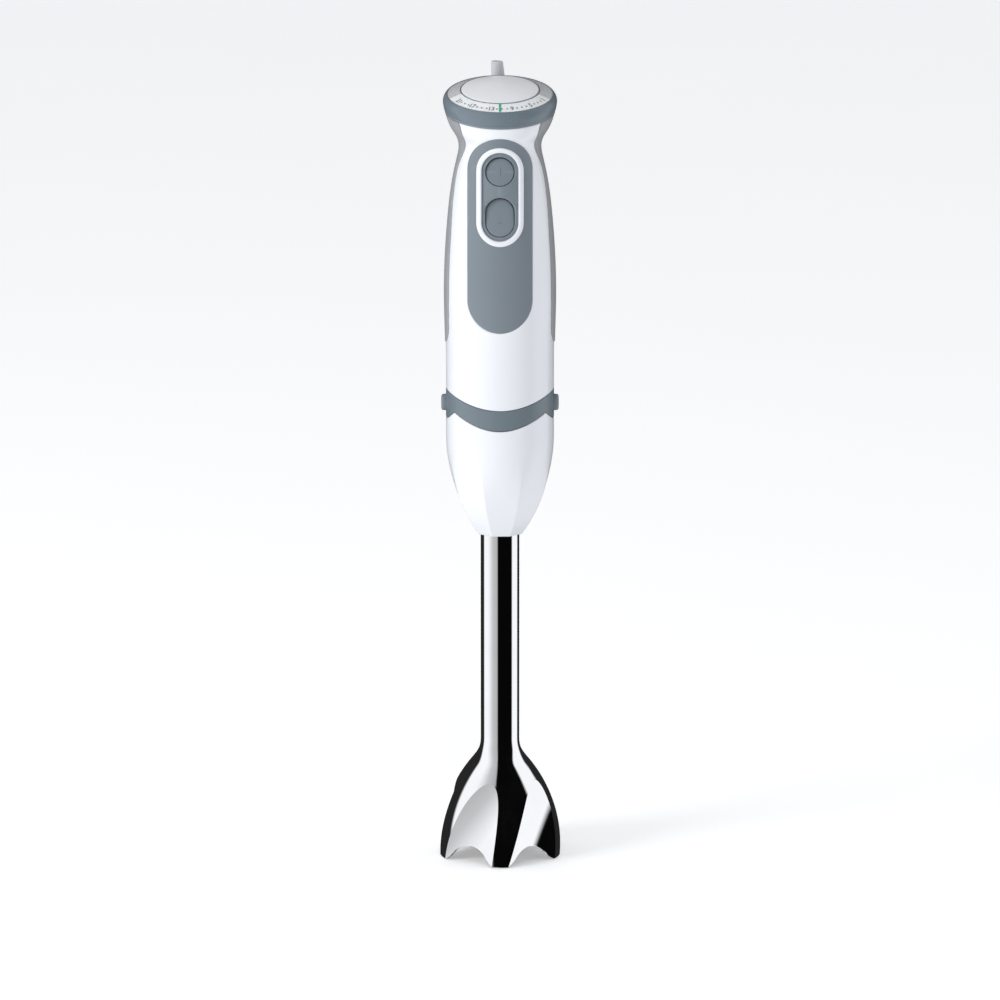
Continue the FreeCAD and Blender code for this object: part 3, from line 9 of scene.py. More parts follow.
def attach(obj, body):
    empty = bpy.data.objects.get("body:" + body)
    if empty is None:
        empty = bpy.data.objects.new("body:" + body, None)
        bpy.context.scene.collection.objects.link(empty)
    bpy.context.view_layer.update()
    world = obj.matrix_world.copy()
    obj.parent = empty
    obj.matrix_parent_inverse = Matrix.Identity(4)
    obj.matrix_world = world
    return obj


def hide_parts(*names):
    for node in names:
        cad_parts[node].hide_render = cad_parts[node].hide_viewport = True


# An immersion blender: white and grey plastic handle, polished steel shaft and bell.
# Lengths in this script are millimetres, and become metres where a mesh or a light is made.
# Azimuth is measured from the front (-Y) towards the right (+X).

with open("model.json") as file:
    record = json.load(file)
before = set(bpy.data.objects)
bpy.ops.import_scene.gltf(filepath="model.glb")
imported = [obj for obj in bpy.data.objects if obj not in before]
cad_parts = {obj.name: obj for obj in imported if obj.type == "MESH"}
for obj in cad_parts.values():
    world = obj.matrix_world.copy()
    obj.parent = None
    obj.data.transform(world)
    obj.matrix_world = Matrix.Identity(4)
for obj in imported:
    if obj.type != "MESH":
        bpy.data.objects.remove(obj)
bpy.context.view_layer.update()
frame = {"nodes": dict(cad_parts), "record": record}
MM = 0.001
JOINTS = {joint["name"]: joint for joint in frame["record"]["behaviour"]["joints"]}


# ---------------------------------------------------------------- mesh tools

def mesh_object(name, points, faces, material, crease=40):
    mesh = bpy.data.meshes.new(name)
    mesh.from_pydata((np.asarray(points, float).reshape(-1, 3) * MM).tolist(), [], faces)
    mesh.validate()
    mesh.polygons.foreach_set("use_smooth", [True] * len(mesh.polygons))
    mesh.set_sharp_from_angle(angle=math.radians(crease))
    piece = bpy.data.objects.new(name, mesh)
    bpy.context.scene.collection.objects.link(piece)
    mesh.materials.append(material)
    weigh_normals(piece)
    return piece


def weigh_normals(piece):
    """Keeps broad faces flat-shaded right up to their rounded edges."""
    even = piece.modifiers.new("even_shading", "WEIGHTED_NORMAL")
    even.keep_sharp = True
    even.weight = 60


def grid_faces(rows, columns, wrap):
    faces = []
    for row in range(rows - 1):
        for column in range(columns if wrap else columns - 1):
            a = row * columns + column
            b = row * columns + (column + 1) % columns
            faces.append((a, b, b + columns, a + columns))
    return faces


def grid_object(name, points, material, wrap=True, crease=40):
    """A skin over rows of points. Rows run up, columns run round by rising azimuth."""
    return mesh_object(name, points, grid_faces(*points.shape[:2], wrap), material, crease)


def rounded(corners, steps=5):
    """A profile of (radius, height, rounding) corners, each rounded by a short curve."""
    corners = [tuple(corner) + (0,) * (3 - len(corner)) for corner in corners]
    count = len(corners)
    path = []
    for index, (x, y, soft) in enumerate(corners):
        here = np.array((x, y), float)
        if soft == 0 or index in (0, count - 1):
            path.append(here)
            continue
        before = np.array(corners[index - 1][:2]) - here
        after = np.array(corners[index + 1][:2]) - here
        shorter = min(np.linalg.norm(before), np.linalg.norm(after))
        reach = min(soft, 0.48 * shorter)
        first = here + before / np.linalg.norm(before) * reach
        last = here + after / np.linalg.norm(after) * reach
        for step in range(steps + 1):
            t = step / steps
            path.append((1 - t) ** 2 * first + 2 * t * (1 - t) * here + t ** 2 * last)
    return np.array(path)


def turned(name, profile, material, segments=160, place=None, crease=40, closed=False):
    """A turned piece; its profile runs from the bottom, up the outside, to the top."""
    profile = np.asarray(profile, float)
    if closed:
        profile = np.vstack([profile, profile[:1]])
    angles = np.linspace(0, 2 * math.pi, segments, endpoint=False)
    radius, height = profile[:, :1], profile[:, 1:]
    points = np.stack([radius * np.sin(angles), -radius * np.cos(angles),
                       np.broadcast_to(height, (len(profile), segments))], -1)
    if place is not None:
        points = moved(points, place)
    return grid_object(name, points, material, crease=crease)


def moved(points, place):
    """Points carried by a 4x4 matrix whose shift is in millimetres."""
    matrix = np.array(place)
    return points @ matrix[:3, :3].T + matrix[:3, 3]


def spline(knots, values):
    """The smooth curve through some values, as a function."""
    knots, values = np.array(knots, float), np.array(values, float)
    gaps = np.diff(knots)
    count = len(knots)
    system, right = np.eye(count), np.zeros(count)
    for index in range(1, count - 1):
        system[index, index - 1:index + 2] = gaps[index - 1], 2 * (gaps[index - 1] + gaps[index]), gaps[index]
        slopes = np.diff(values[index - 1:index + 2]) / gaps[index - 1:index + 1]
        right[index] = 6 * (slopes[1] - slopes[0])
    bends = np.linalg.solve(system, right)

    def curve(at):
        at = np.clip(at, knots[0], knots[-1])
        index = np.clip(np.searchsorted(knots, at) - 1, 0, count - 2)
        gap = gaps[index]
        a, b = (knots[index + 1] - at) / gap, (at - knots[index]) / gap
        bend = (a ** 3 - a) * bends[index] + (b ** 3 - b) * bends[index + 1]
        return a * values[index] + b * values[index + 1] + bend * gap ** 2 / 6
    return curve


def quarter_round(distance, reach):
    """0 at an edge, rising to 1 at a distance from it, as a rounded edge does."""
    inward = np.clip(distance / reach, 0, 1)
    return np.sqrt(np.clip(1 - (1 - inward) ** 2, 0, 1))


def edge_steps(reach, length, count):
    """Distances along a strip, close together at both of its ends."""
    fine = reach * np.array([0, 0.04, 0.12, 0.25, 0.45, 0.7, 1.0, 1.4])
    middle = np.linspace(1.4 * reach, length - 1.4 * reach, count)[1:-1]
    return np.concatenate([fine, middle, length - fine[::-1]])


# ---------------------------------------------------------------- materials

class Surface:
    """A procedural material, built up one feature at a time."""

    def __init__(self, name, color, roughness, metallic=0.0, **sockets):
        self.material = bpy.data.materials.new(name)
        self.material.use_nodes = True
        self.tree = self.material.node_tree
        self.shader = self.tree.nodes["Principled BSDF"]
        self.shader.inputs["Base Color"].default_value = (*color, 1)
        self.shader.inputs["Roughness"].default_value = roughness
        self.shader.inputs["Metallic"].default_value = metallic
        for socket, value in sockets.items():
            self.shader.inputs[socket.replace("_", " ")].default_value = value
        self.color = color
        self.place = self.add("ShaderNodeTexCoord").outputs["Object"]
        self.normal = None

    def add(self, kind, **settings):
        node = self.tree.nodes.new(kind)
        for key, value in settings.items():
            setattr(node, key, value)
        return node

    def link(self, output, target):
        self.tree.links.new(output, target)

    def noise(self, size, detail=3.0, stretch=(1, 1, 1)):
        """Noise whose grains are about so many millimetres across."""
        scale = self.add("ShaderNodeMapping")
        scale.inputs["Scale"].default_value = [1 / (size * MM * along) for along in stretch]
        grain = self.add("ShaderNodeTexNoise")
        grain.inputs["Scale"].default_value = 1.0
        grain.inputs["Detail"].default_value = detail
        self.link(self.place, scale.inputs["Vector"])
        self.link(scale.outputs["Vector"], grain.inputs["Vector"])
        return grain.outputs["Fac"]

    def spread(self, factor, low, high, start=0.3, end=0.7):
        """Maps a factor's middle range to low..high."""
        span = self.add("ShaderNodeMapRange", interpolation_type="SMOOTHSTEP")
        for socket, value in (("From Min", start), ("From Max", end), ("To Min", low), ("To Max", high)):
            span.inputs[socket].default_value = value
        self.link(factor, span.inputs["Value"])
        return span.outputs["Result"]

    def mottle(self, size, amount):
        """Slight drift of the colour over the surface, and lighter worn edges."""
        tone = self.spread(self.noise(size), 1 - amount, 1 + amount)
        wear = self.spread(self.add("ShaderNodeNewGeometry").outputs["Pointiness"], 0, 0.35, 0.53, 0.60)
        scaled = self.add("ShaderNodeVectorMath", operation="SCALE")
        scaled.inputs[0].default_value = self.color
        self.link(tone, scaled.inputs["Scale"])
        worn = self.add("ShaderNodeMix", data_type="RGBA")
        worn.inputs["B"].default_value = (*[min(1, channel * 1.25 + 0.03) for channel in self.color], 1)
        self.link(wear, worn.inputs["Factor"])
        self.link(scaled.outputs["Vector"], worn.inputs["A"])
        self.link(worn.outputs["Result"], self.shader.inputs["Base Color"])
        return self

    def smears(self, size, low, high, stretch=(1, 1, 1)):
        """Roughness that varies as handled plastic or wiped steel does."""
        self.link(self.spread(self.noise(size, 4, stretch), low, high), self.shader.inputs["Roughness"])
        return self

    def grain(self, size, depth, stretch=(1, 1, 1), detail=2.0):
        """A fine relief, so many micrometres deep."""
        bump = self.add("ShaderNodeBump")
        bump.inputs["Strength"].default_value = 1.0
        bump.inputs["Distance"].default_value = depth * 1e-6
        self.link(self.noise(size, detail, stretch), bump.inputs["Height"])
        if self.normal is not None:
            self.link(self.normal, bump.inputs["Normal"])
        self.normal = bump.outputs["Normal"]
        self.link(self.normal, self.shader.inputs["Normal"])
        return self


def plastic(name, color, low, high, relief, size=0.35, **sockets):
    surface = Surface(name, color, (low + high) / 2, **sockets)
    return surface.mottle(30, 0.006).smears(14, low, high).grain(size, relief).grain(24, 2).material


def metal(name, color, low, high, relief, stretch=(1, 1, 1), size=0.3):
    surface = Surface(name, color, (low + high) / 2, metallic=1.0)
    return surface.mottle(25, 0.02).smears(9, low, high).grain(size, relief, stretch).material


white_plastic = plastic("white_plastic", (0.80, 0.82, 0.86), 0.28, 0.30, 0.3, Coat_Weight=0.3,
                        Coat_Roughness=0.10)
dome_plastic = plastic("dome_plastic", (0.86, 0.87, 0.89), 0.30, 0.40, 1.5)
grey_plastic = plastic("grey_plastic", (0.190, 0.225, 0.255), 0.34, 0.44, 2.0)
# The grip is the panel's grey plastic with its base colour lifted: painted sheen standing in for the bright side light
# its sides catch at grazing angles.
grip_plastic_painted_sheen = plastic("grip_plastic_painted_sheen", (0.300, 0.312, 0.325), 0.42, 0.54, 3.0)
button_plastic = plastic("button_plastic", (0.190, 0.225, 0.255), 0.36, 0.46, 3.0)
ring_plastic = plastic("ring_plastic", (0.150, 0.190, 0.220), 0.26, 0.36, 1.5)
band_plastic = plastic("band_plastic", (0.150, 0.188, 0.215), 0.28, 0.38, 1.5)
dark_plastic = plastic("dark_plastic", (0.030, 0.032, 0.035), 0.40, 0.55, 6.0)
stub_plastic = plastic("stub_plastic", (0.56, 0.56, 0.59), 0.45, 0.58, 5.0)
black_rubber = plastic("black_rubber", (0.015, 0.015, 0.016), 0.60, 0.75, 8.0)
mark_ink = plastic("mark_ink", (0.05, 0.07, 0.10), 0.45, 0.55, 2.0)
green_ink = plastic("green_ink", (0.02, 0.42, 0.20), 0.35, 0.45, 2.0)
polished_steel = metal("polished_steel", (0.93, 0.935, 0.945), 0.02, 0.055, 0.04, size=1.5)
brushed_steel = metal("brushed_steel", (0.62, 0.62, 0.63), 0.22, 0.34, 3.0, stretch=(8, 1, 1))
silver_scale = plastic("silver_scale", (0.84, 0.85, 0.87), 0.28, 0.36, 1.5)
scale_grey = plastic("scale_grey", (0.50, 0.52, 0.53), 0.28, 0.36, 1.5)
bronze = metal("bronze", (0.60, 0.42, 0.20), 0.30, 0.42, 4.0)
copper = metal("copper", (0.70, 0.30, 0.14), 0.30, 0.40, 20.0, stretch=(10, 10, 1))
lamination = metal("lamination", (0.20, 0.20, 0.21), 0.45, 0.60, 12.0, stretch=(10, 10, 1), size=0.5)
carbon = plastic("carbon", (0.025, 0.025, 0.026), 0.5, 0.62, 6.0)
board_green = plastic("board_green", (0.02, 0.16, 0.07), 0.30, 0.42, 4.0)


def clear_lens():
    surface = Surface("clear_lens", (0.96, 0.98, 0.98), 0.03, Alpha=0.14, IOR=1.49)
    return surface.smears(8, 0.02, 0.05).grain(12, 2).material


lens_clear = clear_lens()

SLOT_LOOK = {
    "polished_steel": polished_steel, "brushed_steel": brushed_steel, "bronze": bronze,
    "white_plastic": white_plastic, "grey_plastic": grey_plastic, "dark_plastic": dark_plastic,
    "light_grey_rubber": stub_plastic, "black_rubber": black_rubber, "silver_scale": silver_scale,
    "clear_plastic": lens_clear, "laminated_steel": lamination, "copper_winding": copper,
    "carbon": carbon, "circuit_board": board_green,
}


def dress_cad_nodes():
    """Gives every CAD node the finish of its material slot."""
    for entry in frame["record"]["subparts"]:
        piece = frame["nodes"][entry["node"]]
        piece.data.materials.clear()
        piece.data.materials.append(SLOT_LOOK[entry["material_slot"]])


dress_cad_nodes()


def stand_in(piece, body, *nodes):
    """Rides on a body, and takes the place of the CAD nodes it stands for, which are hidden."""
    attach(piece, body)
    if nodes:
        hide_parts(*nodes)
    return piece


# ---------------------------------------------------------------- handle skin

STATIONS = [          # height, radius, forward tilt in degrees, setback
    (222, 26.85, 0, 0), (242, 26.85, 0, 0), (262, 26.9, 0, 0), (285, 27.4, 0, 0), (305, 27.0, 0, 0),
    (325, 25.6, 0, 0), (343, 23.4, 0, 0), (354, 21.1, 3, 0), (361, 20.0, 6.5, 0.2),
    (366, 21.3, 9.5, 0.6), (371, 24.2, 12, 1.1), (378, 26.8, 13, 1.91)]
levels, radii, tilts, backs = zip(*STATIONS)
skin_radius, skin_tilt, skin_back = spline(levels, radii), spline(levels, tilts), spline(levels, backs)
SKIN_TOP = levels[-1]


def skin_point(azimuth, station, offset=0.0):
    """Points on the handle at a station's height along its axis, grown by an offset."""
    azimuth, station, offset = np.broadcast_arrays(azimuth, station, offset)
    radius = skin_radius(station) + offset
    tilt = np.radians(skin_tilt(station))
    deep = radius * np.cos(azimuth)
    return np.stack([radius * np.sin(azimuth), skin_back(station) - deep * np.cos(tilt),
                     station - deep * np.sin(tilt)], -1)


def front_point(x, z, offset=0.0):
    """The point of the handle's front that is seen at x, z from straight ahead."""
    x, z, offset = np.broadcast_arrays(x, z, offset)
    station = np.array(z, float)
    for _ in range(8):
        radius = skin_radius(station) + offset
        azimuth = np.arcsin(np.clip(x / radius, -1, 1))
        station = z + radius * np.cos(azimuth) * np.sin(np.radians(skin_tilt(station)))
    return skin_point(azimuth, station, offset)


UPPER_WAVE_TOP, UPPER_WAVE_RADIUS = 239.4, 53.3
LOWER_WAVE_TOP, LOWER_WAVE_RADIUS = 231.8, 41.3
TAB_BOTTOM, TAB_RADIUS = 224.5, 23.3
GAP = 0.3


def wave(y, top, radius):
    return top - radius + np.sqrt(radius ** 2 - np.clip(np.abs(y), 0, radius) ** 2)


def upper_edge(y):
    return wave(y, UPPER_WAVE_TOP, UPPER_WAVE_RADIUS)


def lower_edge(y):
    """Lower edge of the band: a wave, and a round tab under each release button."""
    tab = TAB_BOTTOM + TAB_RADIUS - np.sqrt(TAB_RADIUS ** 2 - np.clip(np.abs(y), 0, TAB_RADIUS) ** 2)
    return np.where(np.abs(y) < TAB_RADIUS, np.minimum(wave(y, LOWER_WAVE_TOP, LOWER_WAVE_RADIUS), tab),
                    wave(y, LOWER_WAVE_TOP, LOWER_WAVE_RADIUS))


# ---------------------------------------------------------------- front panel outlines

PANEL = (16.1, 271.0, 366.8)          # half width, bottom and top of an upright oblong
BEZEL = (11.65, 314.1, 362.1)
BEZEL_WIDTH = 2.6
WINDOW = (BEZEL[0] - BEZEL_WIDTH, BEZEL[1] + BEZEL_WIDTH, BEZEL[2] - BEZEL_WIDTH)


def oblong_ring(shape, inset, arc=48, side=60):
    """Points round an upright oblong, moved in from its outline; runs clockwise from the front."""
    half, bottom, top = shape
    radius = max(half - inset, 0.01)
    low, high = bottom + half, top - half
    up = np.linspace(low, high, side, endpoint=False)
    bend = np.linspace(0, math.pi, arc, endpoint=False)
    x = np.concatenate([np.full(side, radius), radius * np.cos(bend), np.full(side, -radius),
                        -radius * np.cos(bend)])
    z = np.concatenate([up, high + radius * np.sin(bend), low + high - up, low - radius * np.sin(bend)])
    return x, z


def inside_oblong(shape, x, z):
    """Distance inside the outline, negative outside it."""
    half, bottom, top = shape
    nearest = np.clip(z, bottom + half, top - half)
    return half - np.hypot(x, z - nearest)


def front_piece(name, shape, steps, material, body="motor_unit"):
    """A piece let into the handle's front: rings of (inset, offset) from its rim inwards."""
    rows = []
    for inset, offset in steps:
        x, z = oblong_ring(shape, inset)
        rows.append(front_point(x, z, offset))
    return grid_object(name, np.array(rows), material)


# ---------------------------------------------------------------- rear grip outline

GRIP_BOTTOM, GRIP_CORNER, GRIP_PROUD = 262.5, 9.0, 0.45
grip_front = spline([271.5, 285, 300, 315, 331.5, 343, 352, 356.3, 360.5, 364.5, 368, 372.5, 376, 386],
                    [-9.6, -10.3, -10.4, -10.1, -8.5, -7.4, -6.9, -8.0, -9.8, -12.3, -14.2, -15.3, -14.8, -13])


def grip_edge(z):
    """Side view: how far forward the grip reaches at a height."""
    corner_y = grip_front(GRIP_BOTTOM + GRIP_CORNER) + GRIP_CORNER
    rise = np.clip(GRIP_BOTTOM + GRIP_CORNER - z, 0, GRIP_CORNER)
    return np.where(z < GRIP_BOTTOM + GRIP_CORNER, corner_y - np.sqrt(GRIP_CORNER ** 2 - rise ** 2), grip_front(z))


def grip_azimuth(station, offset=0.0):
    """Azimuth of the grip's front edge at a station of the handle."""
    azimuth = np.full(np.shape(station), 1.2)
    for _ in range(12):
        point = skin_point(azimuth, station, offset)
        tilt = np.cos(np.radians(skin_tilt(station)))
        reach = (skin_back(station) - grip_edge(point[..., 2])) / ((skin_radius(station) + offset) * tilt)
        azimuth = 0.5 * azimuth + 0.5 * np.arccos(np.clip(reach, -1, 1))
    return azimuth


# ---------------------------------------------------------------- motor handle: shells

def make_housing():
    azimuth = np.linspace(-math.pi, math.pi, 480, endpoint=False)
    bottom = upper_edge(skin_radius(240.0) * np.cos(azimuth))
    lip = [(-2.0, 0.9), (-2.0, 0.0), (-0.5, 0.0), (-0.2, 0.08), (-0.05, 0.28), (0.0, 0.6)]
    rows = [skin_point(azimuth, bottom + rise, offset) for offset, rise in lip]
    share = np.linspace(0, 1, 300)[1:, None]
    station = bottom + 0.6 + share * (SKIN_TOP - 0.4 - bottom - 0.6)
    point = skin_point(azimuth, station)
    front = point[..., 1] < 0
    panel_depth = np.where(front, inside_oblong(PANEL, point[..., 0], point[..., 2]), -9)
    grip_depth = (np.abs(azimuth) - grip_azimuth(station)) * skin_radius(station)
    grip_depth = np.where(point[..., 2] > GRIP_BOTTOM - 0.3, np.minimum(grip_depth, point[..., 2] - GRIP_BOTTOM + 0.15), -9)
    hidden = np.clip(np.maximum(panel_depth, grip_depth) / 0.3 + 0.9, 0, 1)
    bezel_depth = np.where(front, inside_oblong(BEZEL, point[..., 0], point[..., 2]), -9)
    sunk = np.clip((bezel_depth - 0.4) / 0.8, 0, 1)
    rows += list(skin_point(azimuth, station, -0.45 * hidden - 9 * sunk))
    rows += [skin_point(azimuth, np.full_like(azimuth, SKIN_TOP), offset) for offset in (-0.3, -2.0)]
    housing = grid_object("housing_shell", np.array(rows), white_plastic, crease=60)
    return stand_in(housing, "motor_unit", "main_housing")


def make_grip():
    stations = GRIP_BOTTOM + edge_steps(0.9, SKIN_TOP - GRIP_BOTTOM + 1.2, 170)
    stations = stations[stations <= SKIN_TOP]
    rows = []
    for station in stations:
        edge = float(grip_azimuth(np.array(station)))
        radius = float(skin_radius(station))
        length = 2 * (math.pi - edge) * radius
        along = edge_steps(0.9, length, 150)
        azimuth = edge + along / radius
        point = skin_point(azimuth, station)
        depth = np.minimum(np.minimum(along, length - along), point[..., 2] - GRIP_BOTTOM)
        corner_y = float(grip_front(GRIP_BOTTOM + GRIP_CORNER)) + GRIP_CORNER
        off_corner = np.hypot(point[..., 1] - corner_y, point[..., 2] - GRIP_BOTTOM - GRIP_CORNER)
        in_corner = (point[..., 1] < corner_y) & (point[..., 2] < GRIP_BOTTOM + GRIP_CORNER)
        depth = np.where(in_corner, np.minimum(depth, GRIP_CORNER - off_corner), depth)
        offset = -0.5 + (0.5 + GRIP_PROUD) * quarter_round(depth, 0.9)
        rows.append(skin_point(azimuth, station, offset))
    # The grip's skin takes the grey plastic whose lifted colour is painted sheen.
    grip = grid_object("grip_shell", np.array(rows), grip_plastic_painted_sheen, wrap=False, crease=60)
    stand_in(grip, "motor_unit", "rear_grip")
    return grip


SPOUT = [(20.5, 350, 2.2), (27.5, 362, 4.2), (31.6, 371, 5.1), (32.2, 378.2, 5.2), (32.2, 384.2, 5.2)]


def make_spout():
    """The cord outlet on the back of the grip: level circles, closed by a rounded rim."""
    setback, height, radius = [np.array(column, float) for column in zip(*SPOUT)]
    back_at, radius_at = spline(height, setback), spline(height, radius)
    azimuth = np.linspace(0, 2 * math.pi, 72, endpoint=False)
    rows = []
    for level in np.linspace(height[0], height[-1] - 0.8, 50):
        rows.append((back_at(level), level, radius_at(level)))
    rows += [(setback[-1], height[-1] - 0.25, radius[-1] - 0.08), (setback[-1], height[-1], radius[-1] - 0.5),
             (setback[-1], height[-1], 3.75), (setback[-1], height[-1] - 1.5, 3.7)]
    points = np.array([np.stack([r * np.sin(azimuth), y - r * np.cos(azimuth), np.full_like(azimuth, z)], -1)
                       for y, z, r in rows])
    # The spout takes the grip's grey plastic, whose lifted colour is painted sheen.
    spout = grid_object("grip_cord_spout", points, grip_plastic_painted_sheen)
    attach(spout, "motor_unit")
    return spout


def make_front():
    steps = [(0, -1.2), (0, -0.35), (0.06, -0.18), (0.16, -0.07), (0.32, -0.01), (0.5, 0.02), (1.0, 0.02)]
    rows = [front_point(*oblong_ring(PANEL, inset), offset) for inset, offset in steps]
    outer, inner = np.array(oblong_ring(PANEL, 1.0)), np.array(oblong_ring(BEZEL, 0.15))
    rows += [front_point(*((1 - share) * outer + share * inner), 0.02) for share in np.linspace(0, 1, 40)[1:]]
    rows.append(front_point(*inner, -1.2))
    panel = grid_object("panel_inlay", np.array(rows), grey_plastic)
    stand_in(panel, "motor_unit", "front_panel")
    crown = [(0, -0.3), (0, 0.1), (0.06, 0.24), (0.18, 0.36), (0.4, 0.46), (0.8, 0.50), (1.3, 0.50),
             (1.9, 0.42), (2.25, 0.28), (2.45, 0.08), (2.55, -0.15), (2.6, -0.5), (2.6, -2.2)]
    bezel = front_piece("bezel_ring", BEZEL, crown, white_plastic)
    stand_in(bezel, "motor_unit", "button_bezel")


# ---------------------------------------------------------------- push buttons

BUTTONS = {"on": (350.6, 21.4, 0.0), "turbo": (328.3, 24.7, 4.8)}   # height, setback, straight
HOLE_RADIUS, CAP_RADIUS = 7.17, 6.95


def button_frame(kind):
    """Local frame of a button: its face is the XY plane, Y points up the handle."""
    height, setback, _ = BUTTONS[kind]
    lean = -math.asin(JOINTS["%s_button_press" % kind]["axis"][2])
    return np.array([[1, 0, 0, 0], [0, math.sin(lean), -math.cos(lean), -setback],
                     [0, math.cos(lean), math.sin(lean), height], [0, 0, 0, 1]])


def local_ring(radius, straight, arc=48, side=8):
    """Points round an upright oblong in a button's own plane, anticlockwise."""
    bend = np.linspace(0, math.pi, arc, endpoint=False)
    half = straight / 2
    up = np.linspace(-half, half, side, endpoint=False)
    x = np.concatenate([np.full(side, radius), radius * np.cos(bend), np.full(side, -radius),
                        -radius * np.cos(bend)])
    y = np.concatenate([up, half + radius * np.sin(bend), -up, -half - radius * np.sin(bend)])
    return x, y


def make_button(kind, mark_rows):
    straight = BUTTONS[kind][-1]
    place = button_frame(kind)
    reach = CAP_RADIUS + straight / 2

    def face(x, y):
        """Height of the dished face: low at its upper edge, nearly flush at its lower one."""
        dish = 0.7 * (1 - (x ** 2 / CAP_RADIUS ** 2 + y ** 2 / reach ** 2))
        return -0.35 - x ** 2 / 42 - 1.25 * (y + reach) / reach - dish

    rows = []
    for radius, drop in ((CAP_RADIUS, -2.5), (CAP_RADIUS, -0.5), (CAP_RADIUS - 0.05, -0.24),
                         (CAP_RADIUS - 0.2, -0.07), (CAP_RADIUS - 0.45, 0.0)):
        x, y = local_ring(radius, straight)
        rows.append(np.stack([x, y, face(x, y) + drop], -1))
    for radius in np.linspace(CAP_RADIUS - 0.45, 0.02, 22)[1:]:
        x, y = local_ring(radius, straight)
        rows.append(np.stack([x, y, face(x, y)], -1))
    cap = grid_object("%s_button_cap" % kind, moved(np.array(rows), place), button_plastic)
    stand_in(cap, "%s_button" % kind, "%s_button" % kind)
    for number, (x, y, width, height) in enumerate(mark_rows):
        make_mark("%s_button_mark_%d" % (kind, number + 1), x, y, width, height, face, place, "%s_button" % kind)


def make_mark(name, x, y, width, height, face, place, body):
    """A small raised rounded bar on a button's face."""
    rows = []
    thin, long = min(width, height), abs(height - width)
    for inset, rise in ((0, -0.1), (0, 0.08), (0.06, 0.16), (0.14, 0.2), (thin / 2 - 0.01, 0.2)):
        ring_x, ring_y = local_ring(thin / 2 - inset, long, 16, 4)
        if width > height:
            ring_x, ring_y = -ring_y, ring_x
        rows.append(np.stack([ring_x + x, ring_y + y, face(ring_x + x, ring_y + y) + rise], -1))
    mark = grid_object(name, moved(np.array(rows), place), button_plastic)
    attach(mark, body)


def make_button_plate():
    """The sunk plate round the two buttons, pierced for them."""
    steps = [(-0.1, -2.6), (-0.1, -1.0), (0.3, -1.0), (1.0, -1.0), (2.5, -1.0), (4.5, -1.0), (6.5, -1.0),
             (WINDOW[0], -1.0), (WINDOW[0], -2.6), (6.5, -2.6), (3, -2.6), (-0.1, -2.6)]
    plate = front_piece("plate_inlay", WINDOW, steps, button_plastic)
    for kind, (_, _, straight) in BUTTONS.items():
        rows = []
        for height, widening in ((-8, 0), (-1.1, 0), (-0.55, 0.12), (-0.2, 0.45), (6, 0.5)):
            x, y = local_ring(HOLE_RADIUS + widening, straight)
            rows.append(np.stack([x, y, height - x ** 2 / 42], -1))
        points = moved(np.array(rows), button_frame(kind))
        count = points.shape[1]
        faces = grid_faces(len(rows), count, True)
        faces += [tuple(range(count))[::-1], tuple(range(4 * count, 5 * count))]
        carve(plate, mesh_object("%s_hole_tool" % kind, points, faces, button_plastic))
    stand_in(plate, "motor_unit", "button_plate")


def carve(piece, tool):
    """Cuts a tool's shape out of a piece, and removes the tool."""
    piece.modifiers.clear()
    tool.modifiers.clear()
    cut = piece.modifiers.new("cut", "BOOLEAN")
    cut.operation = "DIFFERENCE"
    cut.solver = "EXACT"
    cut.object = tool
    done = bpy.data.meshes.new_from_object(piece.evaluated_get(bpy.context.evaluated_depsgraph_get()))
    piece.modifiers.clear()
    piece.data = done
    bpy.data.objects.remove(tool)
    weigh_normals(piece)


# ---------------------------------------------------------------- coupling band and release buttons

HANDLE_RADIUS = 26.9
EDGE = [(-0.5, 0.0), (-0.2, 0.08), (-0.05, 0.28), (0.0, 0.6)]     # offset and rise along a rounded edge


def hoop_points(low, high, inner):
    """Rows round a hoop between two waved edges: up its outside, and down its inside."""
    azimuth = np.linspace(-math.pi, math.pi, 480, endpoint=False)
    y = -HANDLE_RADIUS * np.cos(azimuth)
    bottom, top = low(y), high(y)
    path = [(inner, bottom)] + [(offset, bottom + rise) for offset, rise in EDGE]
    path += [(0, bottom + 0.6 + share * (top - bottom - 1.2)) for share in np.linspace(0, 1, 36)[1:-1]]
    path += [(offset, top - rise) for offset, rise in EDGE[::-1]]
    path += [(inner, top), (inner, bottom)]
    rows = []
    for offset, level in path:
        radius = HANDLE_RADIUS + offset
        rows.append(np.stack([radius * np.sin(azimuth), -radius * np.cos(azimuth), level + 0 * azimuth], -1))
    return np.array(rows)


RELEASE_HEIGHT, RELEASE_RADIUS, RELEASE_FACE = 231.9, 4.1, 29.3


def make_band():
    points = hoop_points(lambda y: lower_edge(y) + GAP / 2, lambda y: upper_edge(y) - GAP / 2, -2.2)
    band = grid_object("band_hoop", points, band_plastic, crease=60)
    azimuth = np.linspace(0, 2 * math.pi, 64, endpoint=False)
    radius = RELEASE_RADIUS + GAP
    ends = [np.stack([0 * azimuth + x, radius * np.sin(azimuth), RELEASE_HEIGHT + radius * np.cos(azimuth)], -1)
            for x in (-40, 40)]
    count = len(azimuth)
    faces = grid_faces(2, count, True) + [tuple(range(count))[::-1], tuple(range(count, 2 * count))]
    carve(band, mesh_object("band_hole_tool", np.array(ends), faces, band_plastic))
    stand_in(band, "motor_unit", "coupling_band")


